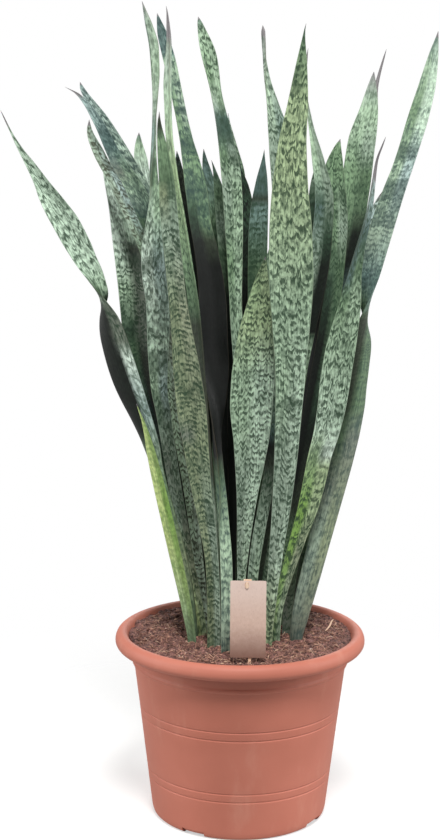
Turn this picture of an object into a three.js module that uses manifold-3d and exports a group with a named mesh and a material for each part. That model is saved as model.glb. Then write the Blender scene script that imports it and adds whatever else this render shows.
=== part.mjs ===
// A potted ceylon bowstring hemp: a moulded plastic pot, its soil, a card label on a pick,
// and the clump of separate strap leaves. Millimetres, +Z up, standing on z = 0 with the
// pot's axis on the Z axis and the label at the front, towards -Y.
import * as THREE from "three";
import { mergeVertices } from "three/addons/utils/BufferGeometryUtils.js";
import Module from "manifold-3d";

// The pot: a 27 cm nursery pot
const POT_TOP = 203.7;
const WALL = 2.6;
const SEGMENTS = 36; // sides of the turned shapes
const RIM_R = 135; // outside of the rolled rim
const RIM_IN_R = 122; // inner edge of the rim
const RIM_FOOT_Z = 186.8; // lower edge of the rim's skirt
const BODY_LOW_R = 95.2; // body radius just above the foot's round edge
const BODY_TOP_R = 114.7; // body radius under the shoulder ridge
const FOOT_EDGE = 7; // height of the round edge at the foot
const RIDGE = { z: 171, proud: 2.2 }; // the ridge round the shoulder
const NECK_R = 115.7; // radius between the ridge and the rim
const INSIDE_BEND = 181.5; // height where the inside starts to flare
const INSIDE_TOP = 200.7; // height of the rim's inner edge
const GROOVES = [44.6, 53.8, 114.8, 124.3]; // heights of the fine grooves round the body
const GROOVE = { depth: 0.6, half: 1.1 }; // half is half of its width

// The drain channels under the floor, which show as notches in the foot
const CHANNELS = 4;
const CHANNEL_FIRST = -121; // direction of the first channel, in degrees from +X
const CHANNEL = { width: 27, height: 6.5, start: 38, end: 115 }; // start and end from the axis
const DRAIN_HOLE = { r: 5, places: [54, 76], sides: 12 }; // places are distances from the axis

// The soil and the leaves' seat in it
const SOIL_Z = 199; // level of the soil round the leaves
const SOIL_DROP = 1; // how much lower the soil lies at the wall
const SOIL_FLAT_R = 95; // the soil is level out to this radius
const SEAT_DEPTH = 12; // how deep a leaf's foot goes into the soil
const SOCKET_OVER = 10; // how far a cut for a foot runs on above the soil
const GAP = 0.35; // clearance between pieces that are cut to fit each other

// The label, a kraft card held by a slim pick
const CARD = { x: 8.2, y: -108, low: 206, width: 36.6, height: 81, thick: 0.7, corner: 1.5 };
const HOLE = { x: 6.8, z: 282.5, rx: 2.2, rz: 3.6 }; // the oval hole in the card
const PICK = { x: 10, width: 3, thick: 1.8, low: 184 };
const PICK_HEAD = { left: 3.4, over: 2 }; // how far the head reaches past the hole
const PEG = { long: 3.4, sides: 14 };

// A leaf blade's make: thick and narrow at the foot, thin above, with a shallow channel
const BLADE = { footThick: 6.5, thick: 3.2, leastThick: 1.2, leastWidth: 1.4 };
const THIN_BY = 0.45; // share of the leaf's height where it has thinned to the blade's thickness
const BLADE_CHANNEL = 0.14; // depth of the channel as a share of the width
const SHOULDER = { across: 0.55, channel: 0.45, thick: 0.8 }; // the back's two shoulder points
const LEAN_POWER = 1.15; // how much a leaf leans more towards its tip
const RINGS = 14; // sections up a leaf, where it states no other number
const TIP_CROWDING = 1.15; // how much closer the sections lie towards the tip
const TIP_LENGTH = 7; // the last pointed stretch of a leaf's tip

// Each leaf is a list of places up its length, as [height, x, width, turn]. The turn is in
// degrees: at 0 the leaf's channelled face looks to the front, at 90 to the right, at 180 back.
// foot is where it leaves the soil, and tipY how far back or forward its tip has leaned.
const LEAVES = {
  leaf_left_1: { foot: [-51, -21], tipY: -59, rings: 26, path: [
    [199, -51, 11, 160], [287, -63, 12, 160], [385, -88.7, 14, 155], [417, -97.5, 21.5, 155],
    [481, -120.5, 31, 170], [544, -139, 30, 138], [565, -142.5, 28, 95], [606, -161.5, 27.5, 30],
    [647, -181.5, 30.5, 10], [679, -200.5, 20, 10], [689, -206, 14, 10], [706, -216.5, 9.8, 10],
    [726, -228.9, 3.4, 10], [740, -235.6, 1.5, 10], [756, -243, 0, 10]] },
  leaf_left_2: { foot: [-51, -33], tipY: -59, path: [
    [199, -51, 9], [234, -56, 11], [312, -72, 13], [403, -92, 10], [437, -100, 4],
    [460, -108, 0]] },
  leaf_left_3: { foot: [-49, 17], tipY: 11, channel: 0.3, path: [
    [199, -49, 10], [277, -56, 12], [365, -76, 14], [453, -99, 20], [495, -109, 26],
    [581, -117, 30], [623, -124, 26], [664, -133, 17], [690, -141, 10], [717, -149, 0]] },
  leaf_left_4: { foot: [-38, 5], tipY: -19, path: [
    [199, -38, 9], [348, -54, 12], [457, -72, 15], [542, -86, 18], [605, -97, 16, 10],
    [630, -110, 12.5, 15], [657, -120, 14.5, 20], [695, -138.5, 13.5, 20], [722, -153.5, 11.5, 20],
    [732, -157.9, 8.2, 20], [747, -158, 0, 20]] },
  leaf_left_5: { foot: [-37, 21], tipY: 18, path: [
    [199, -37, 8], [333, -56, 9], [432, -72, 12], [561, -81, 17], [624, -92, 23], [650, -105, 27],
    [672, -114, 26], [686, -119, 24], [707, -132.5, 17], [727, -143.6, 11.8], [747, -153, 10.8],
    [770, -170, 6.5], [777, -178, 1.8], [780.5, -186.5, 0]] },
  leaf_left_6: { foot: [-35, 33], tipY: 37, path: [
    [199, -35, 9, -10], [317, -41, 11, -10], [428, -55, 15, -10], [537, -72, 20, -10],
    [664, -101, 18, -10], [706, -123, 17, -10], [747, -147, 13, -10], [768, -163.3, 10.6, -10],
    [776, -168, 7, -10], [786, -172.3, 0, -10]] },
  leaf_left_7: { foot: [-33, 45], tipY: 61, path: [
    [199, -33, 9], [358, -45, 11], [491, -66, 17], [599, -87, 16], [663, -99.5, 12.5],
    [716, -111.8, 12], [734, -112, 0]] },
  leaf_left_8: { foot: [-41, -9], tipY: -49, rings: 24, path: [
    [199, -41, 11], [284, -56, 13], [372, -71, 14], [437, -81, 15], [479, -87, 18], [522, -87, 23],
    [563, -88, 24], [605, -93, 24, 5], [642, -92.5, 19, 30], [666, -91.5, 16, 52],
    [687, -92.5, 15.5, 65], [709, -92, 11, 74], [732, -91, 7, 82], [748, -90.3, 7.5, 88],
    [764, -89.7, 10, 96], [786, -90, 15.5, 112], [816, -91.3, 17, 122], [834, -94.8, 13, 124],
    [844, -97.3, 8.4, 125], [863, -102, 0, 125]] },

  leaf_front_1: { foot: [-27, -51], tipY: -107, path: [
    [199, -27, 15], [296, -30, 14], [382, -42, 22], [467, -52, 30], [509, -57, 26], [549, -62, 20],
    [591, -67, 17], [669, -74, 17], [709, -77, 12], [737, -82, 6], [755, -82, 0]] },
  leaf_front_2: { foot: [-26, -29], tipY: -70, path: [
    [199, -25, 10, -20], [309, -28, 12, -30], [417, -36, 16, -45], [502, -43, 18, -50],
    [565, -49, 18, -52], [647, -61, 15, -60], [727, -73, 12, -62], [806, -74.5, 10, -60],
    [820, -73.8, 6.5, -60], [833, -74, 3.8, -55], [846, -75.2, 2.4, -50], [857, -77, 0, -50]] },
  leaf_front_3: { foot: [-14, -66], tipY: 11, rings: 22, path: [
    [199, -14, 11], [253, -14, 12], [296, -16, 13, 20], [337, -20, 15, 50], [379, -23, 18, 75],
    [420, -27, 18.5, 72], [451, -27, 20.5, 45], [482, -27, 26, 15], [523, -30, 30], [564, -31, 28],
    [605, -36, 25], [643, -44, 22.5], [686, -50, 22], [727, -59, 14], [768, -68, 12],
    [808, -77, 13], [839, -85.6, 9.2], [855, -90, 0]] },
  leaf_front_4: { foot: [29, -43], tipY: -124, path: [
    [199, 29, 10], [292, 36, 14], [380, 44, 22], [466, 48, 28], [508, 49, 32], [591, 48, 44],
    [631, 47, 43], [710, 46, 30], [767, 52, 19], [785, 54, 14.2], [811, 54.9, 7.4], [822, 55.4, 2],
    [838, 58.3, 0]] },
  leaf_front_5: { foot: [0, -19], tipY: -49, path: [
    [199, 0, 9], [264, 1, 9], [308, 3, 14], [353, 6, 21], [418, 10, 37], [461, 10, 45],
    [493, 12, 44], [525, 13, 37], [566, 17, 23], [593, 20, 11], [611, 23, 0]] },
  leaf_front_6: { foot: [38, -35], tipY: -89, rings: 20, path: [
    [199, 38, 9], [235, 40, 10], [313, 59, 17], [357, 71.5, 22.5], [400, 79.5, 24.5], [444, 90, 28],
    [486, 95, 31], [528, 101, 30], [569, 108, 22, 10], [590, 110, 17, 25], [610, 113, 14, 38],
    [630, 118, 11, 45], [670, 126, 5.6, 40], [690, 128.3, 4, 35], [710, 131, 2.6, 30],
    [732, 139, 0, 30]] },

  leaf_middle_1: { foot: [-22, 33], tipY: 46, path: [
    [199, -22, 9], [272, -26, 11], [383, -29, 15], [492, -35, 20], [579, -47, 20], [643, -58, 16],
    [674, -65, 12], [700, -69, 8], [715, -71, 0]] },
  leaf_middle_2: { foot: [-12, 47], tipY: 66, path: [
    [199, -12, 9], [314, -16, 12], [425, -20, 18], [534, -24, 22], [620, -30, 20], [673, -35, 14],
    [700, -41, 8], [717, -43, 0]] },
  leaf_middle_3: { foot: [-9, 21], tipY: 31, path: [
    [199, -9, 9], [275, -8, 10], [386, -8, 13], [494, -9, 16], [580, -15, 16], [644, -22, 14],
    [675, -26, 10], [690, -29, 5], [706, -34, 0]] },
  leaf_middle_4: { foot: [-3, -7], tipY: -19, path: [
    [199, -3, 9], [282, 0, 10], [392, 2, 13], [477, -1, 15, 10], [541, -7, 13, 15],
    [584, -8, 15, 10], [707, -15, 20, 10], [737, -21, 15, 15], [758, -26, 12, 20],
    [797, -33, 13, 10], [818, -38, 16, 10], [838, -44, 9, 10], [850, -47, 0, 10]] },
  leaf_middle_5: { foot: [0, 37], tipY: 61, path: [
    [199, 0, 9], [294, 4, 10], [405, 6, 14], [535, 2, 18], [642, -3, 17], [706, -8, 13],
    [732, -14, 5], [755, -17, 0]] },
  leaf_middle_6: { foot: [12, 23], tipY: 29, path: [
    [199, 12, 9], [278, 10, 10], [366, 12, 13], [475, 11, 17], [581, 7, 18], [644, 5, 16],
    [675, 1, 12], [691, -2, 5], [707, -6, 0]] },
  leaf_middle_7: { foot: [8, 9], tipY: -21, path: [
    [199, 8, 9], [282, 9, 10], [370, 12, 12], [458, 14, 17], [542, 15, 19], [647, 16, 19],
    [677, 18, 15], [703, 20, 5], [718, 21, 0]] },
  leaf_middle_8: { foot: [11, -11], tipY: -37, rings: 20, path: [
    [199, 11, 9], [262, 13, 11], [306, 18, 13], [372, 29, 13], [416, 35, 15], [501, 43, 18],
    [586, 45, 21], [667, 42, 24], [727, 36, 22], [755, 31.5, 17.2, 15], [768, 26.2, 10.8, 25],
    [780, 23.8, 9, 42], [791, 21.8, 7.5, 60], [803, 19.8, 6, 80], [815, 19.6, 5, 100],
    [826, 18.4, 8.5, 125], [841, 18, 0, 130]] },

  leaf_right_1: { foot: [20, 1], tipY: -29, path: [
    [199, 20, 9], [258, 24, 11], [369, 43, 18], [435, 52, 19], [499, 60, 20], [542, 68, 21],
    [584, 75, 24], [626, 81, 21], [667, 83, 19], [696, 77.3, 13], [710, 75.6, 12.5],
    [724, 73.1, 11.7], [738, 69.4, 7.2], [752, 66, 3.4], [770, 62.6, 2.6], [797, 61.5, 2.2],
    [819, 64, 0]] },
  leaf_right_2: { foot: [25, 37], tipY: 41, path: [
    [199, 25, 9], [271, 30, 11], [383, 42, 15], [493, 56, 19], [580, 69, 20], [644, 75, 16],
    [685, 76, 9], [709, 78, 0]] },
  leaf_right_3: { foot: [37, -19], tipY: -9, path: [
    [199, 37, 9], [283, 47, 13], [370, 60, 15], [457, 75, 17], [521, 87, 19], [604, 97, 18],
    [646, 98, 20], [676, 95, 21], [703, 93, 18], [718, 95.4, 9.6], [729, 99, 0]] },
  leaf_right_4: { foot: [50, -7], tipY: 31, path: [
    [199, 50, 9], [261, 54, 12], [348, 66, 17], [434, 79, 22], [519, 91, 25], [582, 102, 26],
    [665, 117, 28], [718, 121.3, 31], [748, 128, 23, 10], [779, 131.4, 13, 20],
    [798, 135, 0, 20]] },
  leaf_right_5: { foot: [48, 29], tipY: 81, path: [
    [199, 48, 9], [250, 51, 11], [339, 61, 14], [471, 79, 19], [578, 97, 24], [663, 115, 26],
    [717, 127, 26, 10], [759, 136, 15, 20], [785, 141, 4.8, 30], [793, 142.8, 4, 30],
    [802, 145, 2.3, 30], [823, 151.6, 0, 30]] },
  leaf_right_6: { foot: [60, -29], tipY: -19, rings: 28, path: [
    [199, 60, 14, -180], [234, 66, 20, -180], [310, 84, 24, -180], [396, 104, 28, -180],
    [439, 112, 30, -178], [481, 119, 28, -165], [523, 125, 29, -142], [554, 127, 27, -88],
    [586, 132, 26, -45], [627, 140, 26, -20], [667, 151, 24, -10], [709, 165, 21, -5],
    [749, 176.2, 21.6], [775, 183, 19], [788, 186.2, 16.6], [808, 189.3, 12, 10],
    [822, 192.3, 6.8, 10], [837, 195.3, 0, 10]] },
  leaf_right_7: { foot: [59, 11], tipY: 31, path: [
    [199, 59, 9], [255, 63, 12], [322, 72, 15], [410, 86, 19], [496, 101, 20], [560, 114, 17, 10],
    [602, 123, 14, 20], [639, 134, 11, 30], [665, 141.3, 9, 30], [680, 153, 0, 30]] },

  leaf_back_1: { foot: [-44, 57], tipY: 121, rings: 10, path: [
    [199, -44, 10, 60], [307, -58, 16, 60], [425, -77, 24, 55], [524, -93, 27, 55],
    [593, -104, 18, 60], [642, -114, 0, 60]] },
  leaf_back_2: { foot: [-30, 59], tipY: 131, rings: 10, path: [
    [199, -30, 11, 180], [307, -37, 18, 180], [435, -51, 28, 175], [563, -67, 30, 170],
    [661, -83, 18, 165], [720, -94, 0, 165]] },
  leaf_back_3: { foot: [-14, 67], tipY: 146, rings: 10, path: [
    [199, -14, 11, 10], [307, -20, 18, 10], [425, -28, 30, 5], [524, -35, 30], [602, -43, 17],
    [652, -51, 0]] },
  leaf_back_4: { foot: [2, 55], tipY: 101, rings: 10, path: [
    [199, 2, 11, 170], [307, 2, 16, 170], [445, 0, 24, 175], [583, -4, 27, 185], [681, -9, 17, 190],
    [735, -12, 0, 190]] },
  leaf_back_5: { foot: [16, 63], tipY: 156, rings: 10, path: [
    [199, 16, 11, 5], [297, 18, 18, 5], [406, 22, 28], [504, 27, 28, -5], [583, 31, 15, -5],
    [622, 35, 0, -5]] },
  leaf_back_6: { foot: [30, 52], tipY: 105, rings: 10, path: [
    [199, 30, 11, 200], [317, 35, 18, 200], [455, 41, 29, 195], [593, 48, 30, 190],
    [701, 52, 19, 185], [765, 54, 0, 185]] },
  leaf_back_7: { foot: [45, 52], tipY: 165, rings: 10, path: [
    [199, 43, 11, 200], [307, 52, 18, 200], [435, 65, 28, 200], [553, 80, 28, 195],
    [642, 91, 15, 190], [691, 97, 0, 190]] },
  leaf_back_8: { foot: [61, 33], tipY: 101, rings: 10, path: [
    [199, 61, 10, -45], [297, 73, 16, -45], [406, 91, 25, -50], [504, 107, 27, -55],
    [583, 120, 17, -55], [632, 129, 0, -55]] },
  leaf_back_9: { foot: [-57, 36], tipY: 74, rings: 10, path: [
    [199, -55, 9, 85], [300, -65, 16, 85], [420, -83, 26, 80], [520, -102, 26, 75],
    [600, -116, 15, 70], [650, -123, 0, 70]] },
  leaf_back_10: { foot: [-22, 76], tipY: 185, rings: 10, path: [
    [199, -22, 10, 175], [300, -28, 17, 175], [420, -38, 27, 175], [540, -50, 28, 180],
    [620, -58, 15, 185], [670, -64, 0, 185]] },
  leaf_back_11: { foot: [8, 80], tipY: 215, rings: 10, path: [
    [199, 8, 10, 180], [300, 7, 17, 180], [420, 4, 28, 180], [530, 1, 30, 175], [625, -2, 16, 170],
    [680, -4, 0, 170]] },
  leaf_back_12: { foot: [36, 76], tipY: 205, rings: 10, path: [
    [199, 38, 10, 190], [300, 45, 17, 190], [420, 59, 27, 195], [520, 75, 28, 200],
    [590, 88, 15, 200], [635, 97, 0, 200]] },
  leaf_back_13: { foot: [62, 58], tipY: 150, rings: 10, path: [
    [199, 62, 9, -70], [300, 72, 16, -70], [420, 88, 26, -65], [520, 104, 27, -60],
    [600, 118, 15, -60], [655, 128, 0, -60]] },
  leaf_back_14: { foot: [-48, 76], tipY: 170, rings: 10, path: [
    [199, -46, 9, 45], [300, -52, 16, 45], [400, -62, 25, 40], [490, -73, 26, 40],
    [560, -84, 15, 40], [610, -94, 0, 40]] },

  leaf_inner_1: { foot: [-24, 7], tipY: 10, rings: 10, path: [
    [199, -24, 9, 90], [300, -26, 16, 90], [400, -28, 23, 85], [480, -30, 25, 85],
    [550, -33, 17, 80], [600, -36, 0, 80]] },
  leaf_inner_2: { foot: [32, 14], tipY: 22, rings: 10, path: [
    [199, 32, 9, -90], [300, 35, 16, -90], [400, 38, 22, -95], [490, 41, 24, -95],
    [560, 43, 17, -100], [615, 45, 0, -100]] },
};

const UP = new THREE.Vector3(0, 0, 1);
const part = new THREE.Group();
const wasm = await Module();
wasm.setup();

// Adds one named piece with its own material
function addPiece(name, geometry, color, roughness) {
  const material = new THREE.MeshStandardMaterial({ color, roughness, metalness: 0 });
  const mesh = new THREE.Mesh(geometry, material);
  mesh.name = name;
  part.add(mesh);
}

// Turns a closed geometry into a solid that can be joined and cut
function toSolid(geometry) {
  const bare = geometry.clone();
  bare.deleteAttribute("normal");
  bare.deleteAttribute("uv");
  const merged = mergeVertices(bare, 1e-4);
  return new wasm.Manifold(new wasm.Mesh({
    numProp: 3,
    vertProperties: new Float32Array(merged.attributes.position.array),
    triVerts: new Uint32Array(merged.index.array),
  }));
}

function toGeometry(solid) {
  const mesh = solid.getMesh();
  const geometry = new THREE.BufferGeometry();
  geometry.setAttribute("position", new THREE.BufferAttribute(mesh.vertProperties, 3));
  geometry.setIndex(new THREE.BufferAttribute(mesh.triVerts, 1));
  return geometry;
}

// A shape turned round the Z axis, from its outline of [radius, height] points
function turned(outline) {
  const points = outline.map(([r, z]) => new THREE.Vector2(r, z));
  return new THREE.LatheGeometry(points, SEGMENTS).rotateX(Math.PI / 2);
}

// A box between two opposite corners
function boxSolid(low, high) {
  const size = high.map((value, axis) => value - low[axis]);
  const middle = high.map((value, axis) => (value + low[axis]) / 2);
  return toSolid(new THREE.BoxGeometry(...size).translate(...middle));
}

function bodyRadius(z) {
  return THREE.MathUtils.mapLinear(z, FOOT_EDGE, RIDGE.z, BODY_LOW_R, BODY_TOP_R);
}

// The body's outside up to the shoulder, with a fine V groove at each height in GROOVES
function bodyOutline() {
  const outline = [[BODY_LOW_R - 5, 0], [BODY_LOW_R - 1.6, 2], [BODY_LOW_R, FOOT_EDGE]];
  for (const z of GROOVES) {
    outline.push([bodyRadius(z - GROOVE.half), z - GROOVE.half]);
    outline.push([bodyRadius(z) - GROOVE.depth, z]);
    outline.push([bodyRadius(z + GROOVE.half), z + GROOVE.half]);
  }
  return outline;
}

// The ridge round the shoulder and the neck above it
function shoulderOutline() {
  return [
    [BODY_TOP_R, RIDGE.z - 2.5],
    [BODY_TOP_R + RIDGE.proud, RIDGE.z - 1],
    [BODY_TOP_R + RIDGE.proud, RIDGE.z + 1.5],
    [NECK_R, RIDGE.z + 3],
    [NECK_R + 1.5, RIM_FOOT_Z],
    [NECK_R + 4, RIM_FOOT_Z + 8],
  ];
}

// The rolled rim: the inside of its hollow skirt, then its outside over to the inner edge
function rimOutline() {
  const skirtIn = RIM_R - WALL;
  return [
    [skirtIn - 3, RIM_FOOT_Z + 12],
    [skirtIn - 0.5, RIM_FOOT_Z + 9],
    [skirtIn - 0.5, RIM_FOOT_Z + 4.5],
    [skirtIn - 3.5, RIM_FOOT_Z + 0.5],
    [skirtIn - 3, RIM_FOOT_Z],
    [RIM_R - 4, RIM_FOOT_Z],
    [RIM_R - 1.2, RIM_FOOT_Z + 2.4],
    [RIM_R, RIM_FOOT_Z + 5],
    [RIM_R, RIM_FOOT_Z + 7.8],
    [RIM_R - 1.8, RIM_FOOT_Z + 12.7],
    [RIM_R - 5, POT_TOP - 0.6],
    [RIM_R - 7.5, POT_TOP],
    [RIM_IN_R + 2, POT_TOP - 0.8],
    [RIM_IN_R, INSIDE_TOP],
  ];
}

function potOutline() {
  return [
    [0, 0],
    ...bodyOutline(),
    ...shoulderOutline(),
    ...rimOutline(),
    [insideRadius(INSIDE_BEND), INSIDE_BEND],
    [insideRadius(WALL), WALL],
    [0, WALL],
  ];
}

// The pot's inside is a cone up to a bend, and then flares to the rim's inner edge
function insideRadius(z) {
  if (z < INSIDE_BEND) {
    return bodyRadius(z) - WALL;
  }
  const bendR = bodyRadius(INSIDE_BEND) - WALL;
  return THREE.MathUtils.mapLinear(z, INSIDE_BEND, INSIDE_TOP, bendR, RIM_IN_R);
}

function channelAngle(i) {
  return CHANNEL_FIRST + (i * 360) / CHANNELS;
}

// A bar along drain channel i, as large as the channel or larger by margin at its sides and top
function channelBar(i, margin) {
  const reach = CHANNEL.width / 2 + margin;
  const low = [CHANNEL.start - margin, -reach, -1];
  const high = [CHANNEL.end, reach, CHANNEL.height + margin];
  return boxSolid(low, high).rotate([0, 0, channelAngle(i)]);
}

// The raised floor over all the channels, as solid bars
function channelRoofs(margin) {
  const bars = [];
  for (let i = 0; i < CHANNELS; i += 1) {
    bars.push(channelBar(i, margin));
  }
  return wasm.Manifold.union(bars);
}

function drainHole(i, distance) {
  const angle = THREE.MathUtils.degToRad(channelAngle(i));
  const through = 4 * (CHANNEL.height + WALL);
  const hole = new THREE.CylinderGeometry(DRAIN_HOLE.r, DRAIN_HOLE.r, through, DRAIN_HOLE.sides);
  hole.rotateX(Math.PI / 2);
  return toSolid(hole.translate(distance * Math.cos(angle), distance * Math.sin(angle), 0));
}

// The floor rises over each channel, and the channel and its drain holes are cut from below
function addPot() {
  const topR = BODY_LOW_R - WALL / 2;
  const top = CHANNEL.height + 2 * WALL;
  const insideWall = turned([[0, WALL / 2], [topR - WALL, WALL / 2], [topR, top], [0, top]]);
  let pot = toSolid(turned(potOutline()));
  pot = pot.add(channelRoofs(WALL).intersect(toSolid(insideWall)));
  for (let i = 0; i < CHANNELS; i += 1) {
    pot = pot.subtract(channelBar(i, 0));
    for (const distance of DRAIN_HOLE.places) {
      pot = pot.subtract(drainHole(i, distance));
    }
  }
  addPiece("pot", toGeometry(pot), 0xb87060, 0.55);
}

// Thickness of a leaf for its width at a height, given as a share of the way to the tip
function leafThickness(share, width) {
  const thick = THREE.MathUtils.lerp(BLADE.footThick, BLADE.thick, Math.min(1, share / THIN_BY));
  return Math.max(BLADE.leastThick, Math.min(thick, width / 2));
}

// One level section of a leaf: both margins, the middle of its channel, and its rounded back
function leafSection(leaf, z, grow) {
  const [x, givenWidth, turn] = leaf.shape.evaluate(z);
  const width = Math.max(BLADE.leastWidth, givenWidth);
  const share = Math.max(0, (z - SOIL_Z) / (leaf.tipZ - SOIL_Z));
  const thick = leafThickness(share, width);
  const channel = (leaf.channel ?? BLADE_CHANNEL) * width;
  const y = THREE.MathUtils.lerp(leaf.foot[1], leaf.tipY, share ** LEAN_POWER);
  const middle = (channel + thick) / 2;
  const across = width / 2 + grow;
  const shoulder = SHOULDER.channel * channel + SHOULDER.thick * thick - middle + grow;
  const points = [
    [-across, -middle - grow],
    [0, channel - middle - grow],
    [across, -middle - grow],
    [SHOULDER.across * across, shoulder],
    [0, middle + grow],
    [-SHOULDER.across * across, shoulder],
  ];
  const angle = THREE.MathUtils.degToRad(turn);
  const place = new THREE.Vector3(x, y, z);
  return points.map(([u, v]) => new THREE.Vector3(u, v, 0).applyAxisAngle(UP, angle).add(place));
}

// A closed skin over a stack of sections, flat below, and above flat or, given an apex, pointed
function loft(sections, apex) {
  const count = sections[0].length;
  const top = (sections.length - 1) * count;
  const positions = sections.flat();
  const triangles = capOrder(count, 0, true);
  for (let start = 0; start < top; start += count) {
    for (let i = 0; i < count; i += 1) {
      const a = start + i;
      const b = start + (i + 1) % count;
      triangles.push(a, b, b + count, a, b + count, a + count);
    }
  }
  if (apex) {
    positions.push(apex);
    for (let i = 0; i < count; i += 1) {
      triangles.push(top + i, top + (i + 1) % count, positions.length - 1);
    }
  } else {
    triangles.push(...capOrder(count, top, false));
  }
  const geometry = new THREE.BufferGeometry().setFromPoints(positions);
  geometry.setIndex(triangles);
  return geometry;
}

// Fills a section from its channel's middle, point 1, which sees all the other points
function capOrder(count, start, down) {
  const triangles = [];
  for (let k = 1; k + 1 < count; k += 1) {
    const b = start + (1 + k) % count;
    const c = start + (2 + k) % count;
    triangles.push(start + 1, down ? c : b, down ? b : c);
  }
  return triangles;
}

// Works out a leaf's smooth path through its places, and carries it straight down into the soil
function prepareLeaf(name) {
  const leaf = { ...LEAVES[name] };
  const heights = [SOIL_Z - 2 * SEAT_DEPTH, ...leaf.path.map(([z]) => z)];
  const places = [leaf.path[0], ...leaf.path];
  const values = places.flatMap(([, x, width, turn]) => [x, width, turn ?? 0]);
  leaf.shape = new THREE.CubicInterpolant(heights, values, 3);
  leaf.tipZ = heights.at(-1);
  return leaf;
}

// The heights of a leaf's sections: its foot, then from the soil, closer together near the tip
function leafHeights(leaf) {
  const rings = leaf.rings ?? RINGS;
  const heights = [SOIL_Z - SEAT_DEPTH];
  for (let k = 0; k <= rings; k += 1) {
    const share = 1 - (1 - k / rings) ** TIP_CROWDING;
    heights.push(THREE.MathUtils.lerp(SOIL_Z, leaf.tipZ - TIP_LENGTH, share));
  }
  return heights;
}

function addLeaf(name) {
  const leaf = prepareLeaf(name);
  const sections = leafHeights(leaf).map((z) => leafSection(leaf, z, 0));
  const [tipX] = leaf.shape.evaluate(leaf.tipZ);
  const apex = new THREE.Vector3(tipX, leaf.tipY, leaf.tipZ);
  addPiece(name, loft(sections, apex), 0x6d8a62, 0.5);
}

// The socket in the soil round a leaf's foot
function leafSocket(name) {
  const leaf = prepareLeaf(name);
  const heights = [SOIL_Z - SEAT_DEPTH - GAP, SOIL_Z, SOIL_Z + SOCKET_OVER];
  return toSolid(loft(heights.map((z) => leafSection(leaf, z, GAP))));
}

function pickSocket() {
  const sideways = PICK.width / 2 + GAP;
  const back = PICK.thick / 2 + GAP;
  const low = [PICK.x - sideways, pickY() - back, PICK.low - GAP];
  return boxSolid(low, [PICK.x + sideways, pickY() + back, SOIL_Z + SOCKET_OVER]);
}

// The soil fills the pot to a little under its rim, and leaves the pot's inside by the gap
function addSoil() {
  const edgeZ = SOIL_Z - SOIL_DROP;
  const outline = [
    [0, WALL + GAP],
    [insideRadius(WALL) - GAP, WALL + GAP],
    [insideRadius(INSIDE_BEND) - GAP, INSIDE_BEND],
    [insideRadius(edgeZ) - GAP, edgeZ],
    [SOIL_FLAT_R, SOIL_Z],
    [0, SOIL_Z],
  ];
  const sockets = [...Object.keys(LEAVES).map(leafSocket), pickSocket()];
  const soil = toSolid(turned(outline)).subtract(channelRoofs(WALL + GAP));
  addPiece("soil", toGeometry(soil.subtract(wasm.Manifold.union(sockets))), 0x5a3a30, 0.95);
}

// The card's outline, from its lower left corner round all four rounded corners
function cardShape() {
  const { width, height, corner } = CARD;
  const outline = new THREE.Shape();
  outline.moveTo(corner, 0);
  outline.lineTo(width - corner, 0);
  outline.quadraticCurveTo(width, 0, width, corner);
  outline.lineTo(width, height - corner);
  outline.quadraticCurveTo(width, height, width - corner, height);
  outline.lineTo(corner, height);
  outline.quadraticCurveTo(0, height, 0, height - corner);
  outline.lineTo(0, corner);
  outline.quadraticCurveTo(0, 0, corner, 0);
  return outline;
}

function addCard() {
  const left = CARD.x - CARD.width / 2;
  const hole = new THREE.Path();
  hole.absellipse(HOLE.x - left, HOLE.z - CARD.low, HOLE.rx, HOLE.rz, 0, 2 * Math.PI, true);
  const outline = cardShape();
  outline.holes.push(hole);
  const options = { depth: CARD.thick, bevelEnabled: false, curveSegments: 6 };
  const geometry = new THREE.ExtrudeGeometry(outline, options);
  geometry.rotateX(Math.PI / 2).translate(left, CARD.y + CARD.thick / 2, CARD.low);
  addPiece("label_card", geometry, 0xb08a66, 0.85);
}

// The middle of the pick, which stands close behind the card
function pickY() {
  return CARD.y + CARD.thick / 2 + GAP + PICK.thick / 2;
}

// The pick is a strip with a wider head, and its peg comes through the card's hole
function addPick() {
  const front = pickY() - PICK.thick / 2;
  const back = pickY() + PICK.thick / 2;
  const right = PICK.x + PICK.width / 2;
  const headLow = HOLE.z - HOLE.rz - PICK_HEAD.over;
  const strip = boxSolid([PICK.x - PICK.width / 2, front, PICK.low], [right, back, headLow + 1]);
  const headTop = HOLE.z + HOLE.rz + PICK_HEAD.over;
  const head = boxSolid([HOLE.x - PICK_HEAD.left, front, headLow], [right, back, headTop]);
  const peg = new THREE.CylinderGeometry(1, 1, PEG.long, PEG.sides);
  peg.scale(HOLE.rx - GAP, 1, HOLE.rz - GAP);
  peg.translate(HOLE.x, pickY() - PEG.long / 2, HOLE.z);
  addPiece("label_pick", toGeometry(strip.add(head).add(toSolid(peg))), 0xc98a55, 0.6);
}

addPot();
addSoil();
addCard();
addPick();
Object.keys(LEAVES).forEach(addLeaf);

export default part;
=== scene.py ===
# The finished look of a potted ceylon bowstring hemp, built around its CAD frame
import math
from itertools import combinations

import bmesh
import bpy
import numpy as np
from mathutils import Matrix, Vector


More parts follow.
